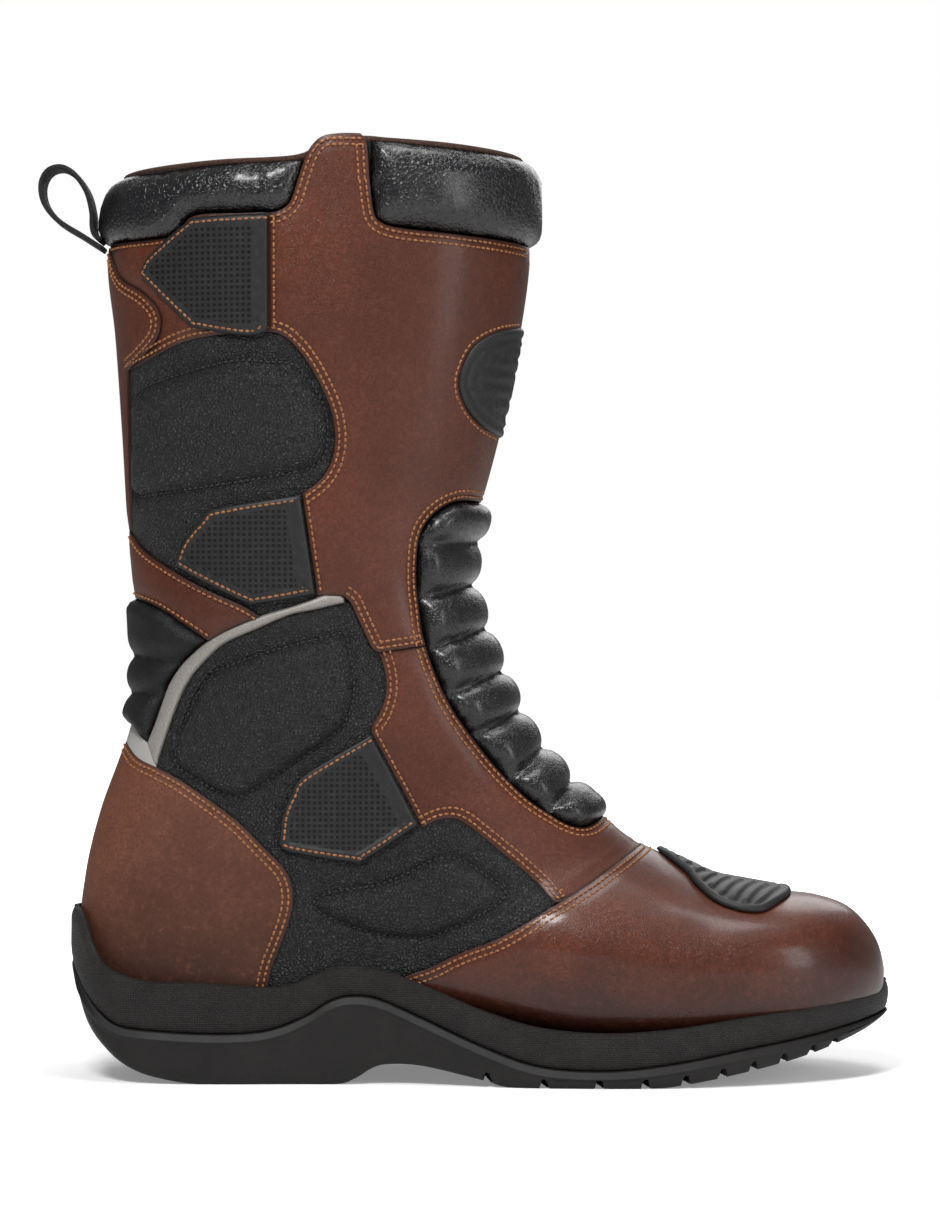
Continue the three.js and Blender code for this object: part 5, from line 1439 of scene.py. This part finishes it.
tape_ribs = maths(tape_tree, "MULTIPLY", *(
    maths(tape_tree, "SINE", maths(tape_tree, "MULTIPLY", tape_place[axis], 2 * math.pi / (pitch * MM)))
    for axis, pitch in (("X", 0.8), ("Z", 1.0))
))
tape_share = ramp(tape_tree, tape_ribs, -1.0, 1.0)
tape_colour = mixed(tape_tree, tape_share, (0.005, 0.005, 0.006), (0.022, 0.022, 0.024))
tape_tree.links.new(tape_colour, tape_surface.inputs["Base Color"])
tape_surface.inputs["Roughness"].default_value = 0.85
bumped(tape_tree, tape_surface, tape_ribs, 0.12)
for tape in ("zip_tape_front", "zip_tape_rear"):
    finish_node(tape, tape_weave)

slider_shut = ZIP_BOTTOM + (ZIP_TOP - ZIP_BOTTOM) * (SLIDER_Z - ZIP_BOTTOM[1]) / (ZIP_TOP - ZIP_BOTTOM)[1]
zip_high, zip_low = (
    Vector(in_frame(on_last(*flatten([point]).T, 1)[0])[0]) for point in (slider_shut, ZIP_BOTTOM)
)
zip_up = (zip_high - zip_low).normalized()
zip_out = (Vector((0, 1, 0)) - zip_up * zip_up.y).normalized()
zip_across = zip_out.cross(zip_up)
zip_turn = Matrix((zip_across, zip_out, zip_up)).transposed().to_4x4()


def zip_frame(at, out=0.0, across=0.0):
    """A frame on the zip: x across it, y out of the leather, z up it, at a distance above its lower end."""
    place = zip_turn.copy()
    place.translation = zip_low + zip_up * at * MM + zip_out * out * MM + zip_across * across * MM
    return place


def block(bm, frame_of, size, centre=(0, 0, 0), rounding=0.0):
    """A block of size millimetres with rounded edges."""
    made = bmesh.ops.create_cube(bm, size=1)["verts"]
    grown = Matrix.Diagonal((*(s * MM for s in size), 1))
    bmesh.ops.transform(bm, verts=made, matrix=frame_of @ Matrix.Translation(Vector(centre) * MM) @ grown)
    if rounding:
        edges = list({edge for vert in made for edge in vert.link_edges})
        bmesh.ops.bevel(bm, geom=edges, offset=rounding * MM, segments=2, profile=0.5, affect="EDGES",
            material=-1)


zip_long = (zip_high - zip_low).length / MM
# The teeth run on past the shut slider
teeth_from, teeth_to = 6, zip_long * 111 / 100
for name, node, way, first in (
    ("front", "zip_teeth_front", 1, 0.0), ("rear", "zip_teeth_rear", -1, TOOTH_PITCH / 2),
):
    bm = bmesh.new()
    for at in np.arange(teeth_from + first, teeth_to, TOOTH_PITCH):
        block(bm, zip_frame(at, 0.0, -way * 1.15), (2.1, 1.0, 1.35), rounding=0.25)
    teeth = new_object(f"zip_teeth_row_{name}", bm)
    teeth.data.shade_smooth()
    dress(teeth, gunmetal, "zip_metal", node, body="shaft")
for name, node, at in (
    ("top", "zip_top_stop", teeth_to + 1.6), ("bottom", "zip_bottom_stop", teeth_from - 2),
):
    bm = bmesh.new()
    block(bm, zip_frame(at, 0.3), (5.6, 1.5, 3.0), rounding=0.5)
    stop = new_object(f"zip_{name}_clamp", bm)
    stop.data.shade_smooth()
    dress(stop, gunmetal, "zip_metal", node, body="shaft")

SLIDER_BASE, SLIDER_THICK, SLIDER_LONG, SLIDER_WIDE = 1.1, 1.8, 14, 9
PIN_HEIGHT, PIN, EYE, EYE_WALL = 5.3, 0.8, 1.3, 0.8
PULLER_WIDE, PULLER_LONG, PULLER_THICK = 6.5, 26, 1.5
HOLE_WIDE, HOLE_LONG, HOLE_AT = 2.4, 4.4, 19
slider_frame = zip_frame(zip_long)
bm = bmesh.new()
plate = bmesh.ops.create_cube(bm, size=1)["verts"]
for vert in plate:
    narrow = 0.78 if vert.co.z < 0 else 1.0
    vert.co = Vector((
        vert.co.x * SLIDER_WIDE * narrow, SLIDER_BASE + (vert.co.y + 0.5) * SLIDER_THICK,
        vert.co.z * SLIDER_LONG
    )) * MM
bmesh.ops.bevel(bm, geom=bm.edges[:], offset=0.55 * MM, segments=3, profile=0.5, affect="EDGES", material=-1)
bmesh.ops.transform(bm, verts=bm.verts, matrix=slider_frame)
for way in (-1, 1):
    block(bm, slider_frame, (1.0, PIN_HEIGHT + PIN - SLIDER_BASE - 0.5, 3.0), (
        way * (PULLER_WIDE / 2 + 0.8), (PIN_HEIGHT + PIN + SLIDER_BASE + 0.5) / 2, 0), 0.3)
bmesh.ops.create_cone(
    bm, cap_ends=True, segments=16, radius1=PIN * MM, radius2=PIN * MM, depth=(PULLER_WIDE + 1.6) * MM,
    matrix=slider_frame @ Matrix.Translation((0, PIN_HEIGHT * MM, 0)) @ Matrix.Rotation(math.radians(90),
        4, "Y"),
)
slider = new_object("zip_slider_body", bm)
slider.data.shade_smooth()
dress(slider, gunmetal, "zip_metal", "zip_slider", body="zip_slider")

bm = bmesh.new()
profile = [
    bm.verts.new(Vector((0, (EYE + EYE_WALL * 0.5 + EYE_WALL * 0.5 * math.cos(a)) * MM,
        EYE_WALL * 0.5 * math.sin(a) * MM)))
    for a in np.linspace(0, 2 * math.pi, 9)[:-1]
]
for vert in profile:
    vert.co.x = vert.co.z * PULLER_WIDE / EYE_WALL
    vert.co.z = 0
ring_edges = [bm.edges.new((profile[i], profile[(i + 1) % 8])) for i in range(8)]
bmesh.ops.spin(
    bm, geom=profile + ring_edges, axis=(1, 0, 0), cent=(0, 0, 0), angle=2 * math.pi, steps=24,
    use_merge=True,
    use_duplicate=False,
)
handle_start = -EYE - 0.2
grip = bmesh.ops.create_grid(bm, x_segments=6, y_segments=26, size=0.5)["verts"]
for vert in grip:
    along = 0.5 - vert.co.y
    waist = 1 - 0.28 * math.exp(-(((along - 0.18) / 0.13) ** 2)) - 0.35 * max(0, (along - 0.93) / 0.07) ** 2
    vert.co = Vector((vert.co.x * PULLER_WIDE * waist, PULLER_THICK / 2,
        handle_start - along * (PULLER_LONG - 1))) * MM
grip_faces = list({face for vert in grip for face in vert.link_faces})
hole = [f for f in grip_faces if abs(f.calc_center_median().x) < HOLE_WIDE / 2 * MM and
        abs(f.calc_center_median().z - (handle_start - HOLE_AT) * MM) < HOLE_LONG / 2 * MM]
bmesh.ops.delete(bm, geom=hole, context="FACES")
grip_faces = [f for f in grip_faces if f.is_valid]
bmesh.ops.recalc_face_normals(bm, faces=bm.faces)
grown = bmesh.ops.solidify(bm, geom=grip_faces, thickness=PULLER_THICK * MM)
bmesh.ops.transform(bm, verts=bm.verts, matrix=slider_frame @ Matrix.Translation((0, PIN_HEIGHT * MM, 0)))
puller = new_object("zip_puller_tag", bm)
rounding = puller.modifiers.new("rounded_edge", "BEVEL")
rounding.width, rounding.segments, rounding.limit_method = 0.3 * MM, 2, "ANGLE"
dress(settle(puller), gunmetal, "zip_metal", "zip_puller", body="zip_puller")

# ---- Closure tab -------------------------------------------------------------------------------------
# A leather tab folds back from its sewn anchor over the top of the zip and holds with hook and loop tape.
def fastener_tape(name, loops_per_metre, dark, light, depth):
    material, tree, surface = new_material(name)
    cells = wire(tree, "ShaderNodeTexVoronoi",
        {"Vector": object_place(tree), "Scale": float(loops_per_metre)})
    tuft = ramp(tree, cells.outputs["Distance"], 0.7, 0.1)
    tree.links.new(mixed(tree, tuft, dark, light), surface.inputs["Base Color"])
    surface.inputs["Roughness"].default_value = 0.9
    bumped(tree, surface, tuft, depth)
    return material


loop_tape = fastener_tape("loop_tape", 900, (0.004, 0.004, 0.004), (0.025, 0.025, 0.027), 0.5)
hook_tape = fastener_tape("hook_tape", 700, (0.006, 0.006, 0.006), (0.03, 0.03, 0.032), 0.6)
fastener_runs = [[[70.5, 312], [80, 309]], [[80, 309], [80, 336]], [[80, 336], [70.5, 333]],
    [[70.5, 333], [70.5, 312]]]
loop_patch = cut("loop_tape_patch", {1: fastener_runs}, 1.9)
dress(thicken(loop_patch, 0.9, 0.2), loop_tape, "webbing", "tab_loop_patch")
hook_patch = cut("hook_tape_patch", {1: fastener_runs}, 2.85)
dress(thicken(hook_patch, 0.85, 0.2), hook_tape, "webbing", "tab_hook_patch", body="closure_tab")
TAB_LIFT = 4.9
anchor_runs = [[[104, 304], [112, 304]], [[112, 304], [112, 340]], [[112, 340], [104, 340]],
    [[104, 340], [104, 304]]]
anchor = cut("closure_anchor", {1: anchor_runs}, TAB_LIFT, skived)
dress(thicken(anchor, 3.4, 0.4), brown_hide, "brown_leather", "tab_anchor")
tab_runs = [
    [[103.5, 304], [76, 305]], [[76, 305], [71, 307.5], [68.4, 312], [68, 318]], [[68, 318], [68, 333]],
    [[68, 333], [69.5, 337], [76, 340]], [[76, 340], [103.5, 340]], [[103.5, 340], [103.5, 304]],
]
tab = cut("closure_tab_flap", {1: tab_runs}, TAB_LIFT, skived)
dress(thicken(tab, 1.95, 0.5), brown_hide, "brown_leather", "closure_tab", body="closure_tab")

# ---- Pull loop ---------------------------------------------------------------------------------------
# Black webbing, sewn into the seam under the back of the collar and turned over in a teardrop.
LOOP_WIDE, LOOP_THICK = 20, 2.0
loop_line = smooth_run([
    [12, 310], [5, 314.5], [-4.5, 320.5], [-9.8, 327], [-11, 334], [-8.5, 339.2], [-3.5, 340.7], [1.5, 338],
    [6, 331.5], [8, 324], [8.2, 318.5], [9, 315.4], [11.7, 313],
], 0.9)
loop_way = np.gradient(loop_line, axis=0)
loop_way /= np.linalg.norm(loop_way, axis=1, keepdims=True)
loop_side = np.stack([-loop_way[:, 1], loop_way[:, 0]], 1)
LOOP_COLUMNS, LOOP_ROUND = len(loop_line) - 1, 28


def webbing_place(along, around):
    index = np.round(along * LOOP_COLUMNS).astype(int)
    turn = around * 2 * math.pi
    wide = np.sign(np.cos(turn)) * np.abs(np.cos(turn)) ** 0.35 * LOOP_WIDE / 2
    thick = np.sign(np.sin(turn)) * np.abs(np.sin(turn)) ** 0.5 * LOOP_THICK / 2
    flat = loop_line[index] + loop_side[index] * thick[:, None]
    return np.stack([flat[:, 0], wide, flat[:, 1]], 1)


loop_bm = woven(LOOP_COLUMNS, LOOP_ROUND, webbing_place, (loop_line.shape[0] * 0.9, 44))
bmesh.ops.holes_fill(loop_bm, edges=loop_bm.edges, sides=0)
bmesh.ops.recalc_face_normals(loop_bm, faces=loop_bm.faces)
webbing, webbing_tree, webbing_surface = new_material("black_webbing")
weave_at = wire(webbing_tree, "ShaderNodeSeparateXYZ",
    {0: webbing_tree.nodes.new("ShaderNodeUVMap").outputs["UV"]}).outputs
weave = maths(webbing_tree, "MULTIPLY", *(
    maths(webbing_tree, "SINE", maths(webbing_tree, "MULTIPLY",
        maths(webbing_tree, way, weave_at["X"], weave_at["Y"]),
                                      2 * math.pi / (1.5 * MM)))
    for way in ("ADD", "SUBTRACT")
))
webbing_tree.links.new(
    mixed(webbing_tree, ramp(webbing_tree, weave, -1.0, 1.0), (0.004, 0.004, 0.005), (0.018, 0.018, 0.020)),
    webbing_surface.inputs["Base Color"],
)
webbing_surface.inputs["Roughness"].default_value = 0.8
bumped(webbing_tree, webbing_surface, weave, 0.15)
pull_loop = new_object("pull_loop_webbing", loop_bm)
pull_loop.data.shade_smooth()
dress(pull_loop, webbing, "webbing", "pull_loop", body="pull_loop")

# ---- Stitching ---------------------------------------------------------------------------------------
# Bonded nylon thread, tan on the brown pieces and black on the black ones. The machine lays it in rows
# beside the cut edges, a little over two millimetres to the stitch, and each stitch dips into its two holes.
STITCH_PITCH, STITCH_LONG, THREAD = 2.3, 1.95, 0.5
FIRST_ROW, SECOND_ROW = 1.7, 3.9  # from the cut edge


def thread(name, colour, pale):
    material, tree, surface = new_material(name)
    twist = noise(tree, object_place(tree), 1800, 2)
    tree.links.new(mixed(tree, ramp(tree, twist, 0.3, 0.7), colour, pale), surface.inputs["Base Color"])
    surface.inputs["Roughness"].default_value = 0.5
    bumped(tree, surface, twist, 0.08)
    return material


tan_thread = thread("tan_thread", (0.13, 0.042, 0.012), (0.40, 0.165, 0.060))
black_thread = thread("black_thread", (0.004, 0.004, 0.005), (0.020, 0.020, 0.022))
net_v = np.arange(0, TIP + 0.01, 0.25)
net_u = np.linspace(0, 1, 61)
last_trees = {}
for side in BOTH:
    points, _ = on_last(np.repeat(net_v, len(net_u)), np.tile(net_u, len(net_v)), side)
    wide = len(net_u)
    squares = [
        (r * wide + c, r * wide + c + 1, (r + 1) * wide + c + 1, (r + 1) * wide + c)
        for r in range(len(net_v) - 1) for c in range(wide - 1)
    ]
    last_trees[side] = BVHTree.FromPolygons([tuple(p) for p in points], squares)
stitches = {"tan": [], "black": []}


def sew(run, aim, lift, insets=(FIRST_ROW, SECOND_ROW), sides=BOTH, colour="tan"):
    """Rows of stitches at some insets from a run, on the side of it where the point aim lies in side view."""
    for side in sides:
        places = flatten(smooth_run(run, 1.0))
        base, normal = on_last(*places.T, side)
        way = np.gradient(base, axis=0)
        across = np.cross(normal, way)
        across /= np.maximum(1e-9, np.linalg.norm(across, axis=1, keepdims=True))
        nearest = np.argmin(np.hypot(base[:, 0] - aim[0], base[:, 2] - aim[1]))
        towards = np.array([aim[0] - base[nearest, 0], 0, aim[1] - base[nearest, 2]])
        sign = 1 if across[nearest] @ towards > 0 else -1
        for inset in insets:
            found = [last_trees[side].find_nearest(Vector(p)) for p in base + across * sign * inset]
            points = np.array([place for place, *_ in found])
            faces = np.array([way_out if Vector(n).dot(way_out) > 0 else -way_out for (_, way_out, *_),
                n in zip(found, normal)])
            keep = side * (points[:, 1] - centre_line(points[:, 0], points[:, 2])) > 0.3
            points, faces = points[keep], faces[keep]
            if len(points) < 4:
                continue
            length = np.concatenate([[0], np.cumsum(np.linalg.norm(np.diff(points, axis=0), axis=1))])
            at = np.arange(STITCH_PITCH / 2, length[-1], STITCH_PITCH)
            read = [np.stack([np.interp(at, length, column) for column in table.T], 1)
                    for table in (points + faces * lift, faces, np.gradient(points, axis=0))]
            stitches[colour].append(list(zip(*read)))


ON_OVERLAY, ON_LOW_OVERLAY, ON_GROUND = OVERLAY - 0.05, LOW_OVERLAY - 0.05, GROUND - 0.55
sew(collar_edge, (140, 290), ON_OVERLAY)
sew([[113.3, 331], [112.5, 344.5]], (100, 335), ON_OVERLAY)
sew(tab_top_edge[:-1], (105, 325), ON_OVERLAY, sides=(-1,))
sew([[97, 347.8], [111, 348]], (104, 330), ON_OVERLAY)
sew([[77, 318], [77, 277.5]], (100, 300), ON_OVERLAY, (FIRST_ROW,), sides=(-1,))
sew(calf_front_edge[::-1], (120, 240), ON_OVERLAY, sides=(-1,))
sew([[88.5, 217], [93.6, 181]], (120, 200), ON_OVERLAY, (FIRST_ROW,), sides=(-1,))
sew(flex_upper_edge, (110, 200), ON_OVERLAY)
sew([[131.5, 160.8], [117, 158.6]], (120, 180), ON_OVERLAY)
sew(shaft_bottom_edge, (125, 180), ON_OVERLAY)
sew(flex_lower_edge, (140, 110), ON_LOW_OVERLAY)
sew(strip_rear_edge, (130, 140), ON_LOW_OVERLAY)
sew([[114, 128.5], [132.5, 94]], (140, 115), ON_LOW_OVERLAY, (FIRST_ROW,))
sew(strip_lower_edge, (170, 95), ON_LOW_OVERLAY)
sew(vamp_edge, (240, 50), ON_OVERLAY)
sew(heel_top_edge + heel_front_edge[1:], (40, 70), ON_LOW_OVERLAY)
sew(stay_edge, (18, 280), ON_OVERLAY)
sew(rear_top_edge[:3], (45, 295), ON_LOW_OVERLAY, (FIRST_ROW,))
sew(calf_top_edge, (60, 295), ON_LOW_OVERLAY)
sew(band_top_edge, (45, 175), ON_OVERLAY, (FIRST_ROW,))
sew(band_bottom_edge, (45, 180), ON_OVERLAY, (FIRST_ROW,))
sew([[102, 186], [89.24, 346]], (120, 250), ON_OVERLAY, sides=(1,))
sew([[84.86, 276], [79.6, 346]], (60, 300), ON_LOW_OVERLAY, (FIRST_ROW,), sides=(1,))
sew([[92, 184], [84.86, 276]], (60, 230), ON_GROUND + 0.2, (FIRST_ROW,), sides=(1,), colour="black")
sew([[29.5, 299], [33, 305], [46.5, 316], [51.5, 318], [76, 319]], (60, 300), PATCH_LIFT - 0.1, (1.8,),
    sides=(-1,))
sew([[75.5, 276.7], [69.5, 274.5], [51.5, 277.5], [47, 280], [31.5, 296], [29.5, 299]], (60, 300),
    PATCH_LIFT - 0.1, (1.8,), sides=(-1,))
sew([[43, 193.5], [46, 200.5], [52.5, 208], [57, 211.5], [86, 216.3]], (70, 195), PATCH_LIFT - 0.1,
    (1.8,), sides=(-1,))
sew([[92, 180.2], [74, 177], [67.5, 177.5], [44.5, 189.5], [43, 193.5]], (70, 195), PATCH_LIFT - 0.1,
    (1.8,), sides=(-1,))
sew([[80, 89.5], [81, 98.5], [84, 106], [89, 113.5], [112.5, 128]], (105, 100), PATCH_LIFT - 0.1, (1.8,))
sew([[130, 94.6], [111.5, 82.5], [107.5, 81.5], [83, 85.5], [80, 89.5]], (105, 100), PATCH_LIFT - 0.1, (1.8,))
sew(badge_run, (120, 260), ON_OVERLAY, (1.3,))
sew(calf_pad, (60, 240), ON_GROUND, (0.0,), sides=(-1,), colour="black")
sew(calf_pad_by_zip, (60, 240), ON_GROUND, (0.0,), sides=(1,), colour="black")
sew(ankle_pad, (75, 135), ON_GROUND, (0.0,), colour="black")
sew(quarter_leaf, (130, 68), ON_GROUND, (0.0,), colour="black")
sew(piping_inner_edge[2:], (70, 130), GROUND - 0.1, (1.8, 4.0), colour="black")
for colour, material, slot in (("tan", tan_thread, "brown_leather"),
    ("black", black_thread, "textured_leather")):
    for zone, low, high in (("foot", -99, FLEX_START), ("ankle", FLEX_START, FLEX_END),
        ("shaft", FLEX_END, 999)):
        sewn_bm = bmesh.new()
        for row in stitches[colour]:
            bm = bmesh.new()
            for place, face, way in row:
                if not low <= place[2] < high:
                    continue
                face, way = Vector(face).normalized(), Vector(way)
                way = (way - face * way.dot(face)).normalized()
                turn = Matrix((way, face.cross(way), face)).transposed().to_4x4()
                turn.translation = Vector(in_frame(place))
                size = Matrix.Diagonal((STITCH_LONG / 2 * MM, THREAD * MM, THREAD * MM, 1))
                bmesh.ops.create_uvsphere(
                    bm, u_segments=6, v_segments=4, radius=1,
                    matrix=turn @ size @ Matrix.Rotation(math.radians(90), 4, "Y"),
                )
            one_row = bpy.data.meshes.new("row")
            bm.to_mesh(one_row)
            bm.free()
            sewn_bm.from_mesh(one_row)
            bpy.data.meshes.remove(one_row)
        sewn = new_object(f"{colour}_stitching_{zone}", sewn_bm)
        sewn.data.shade_smooth()
        dress(sewn, material, slot, body=None if zone == "ankle" else zone)
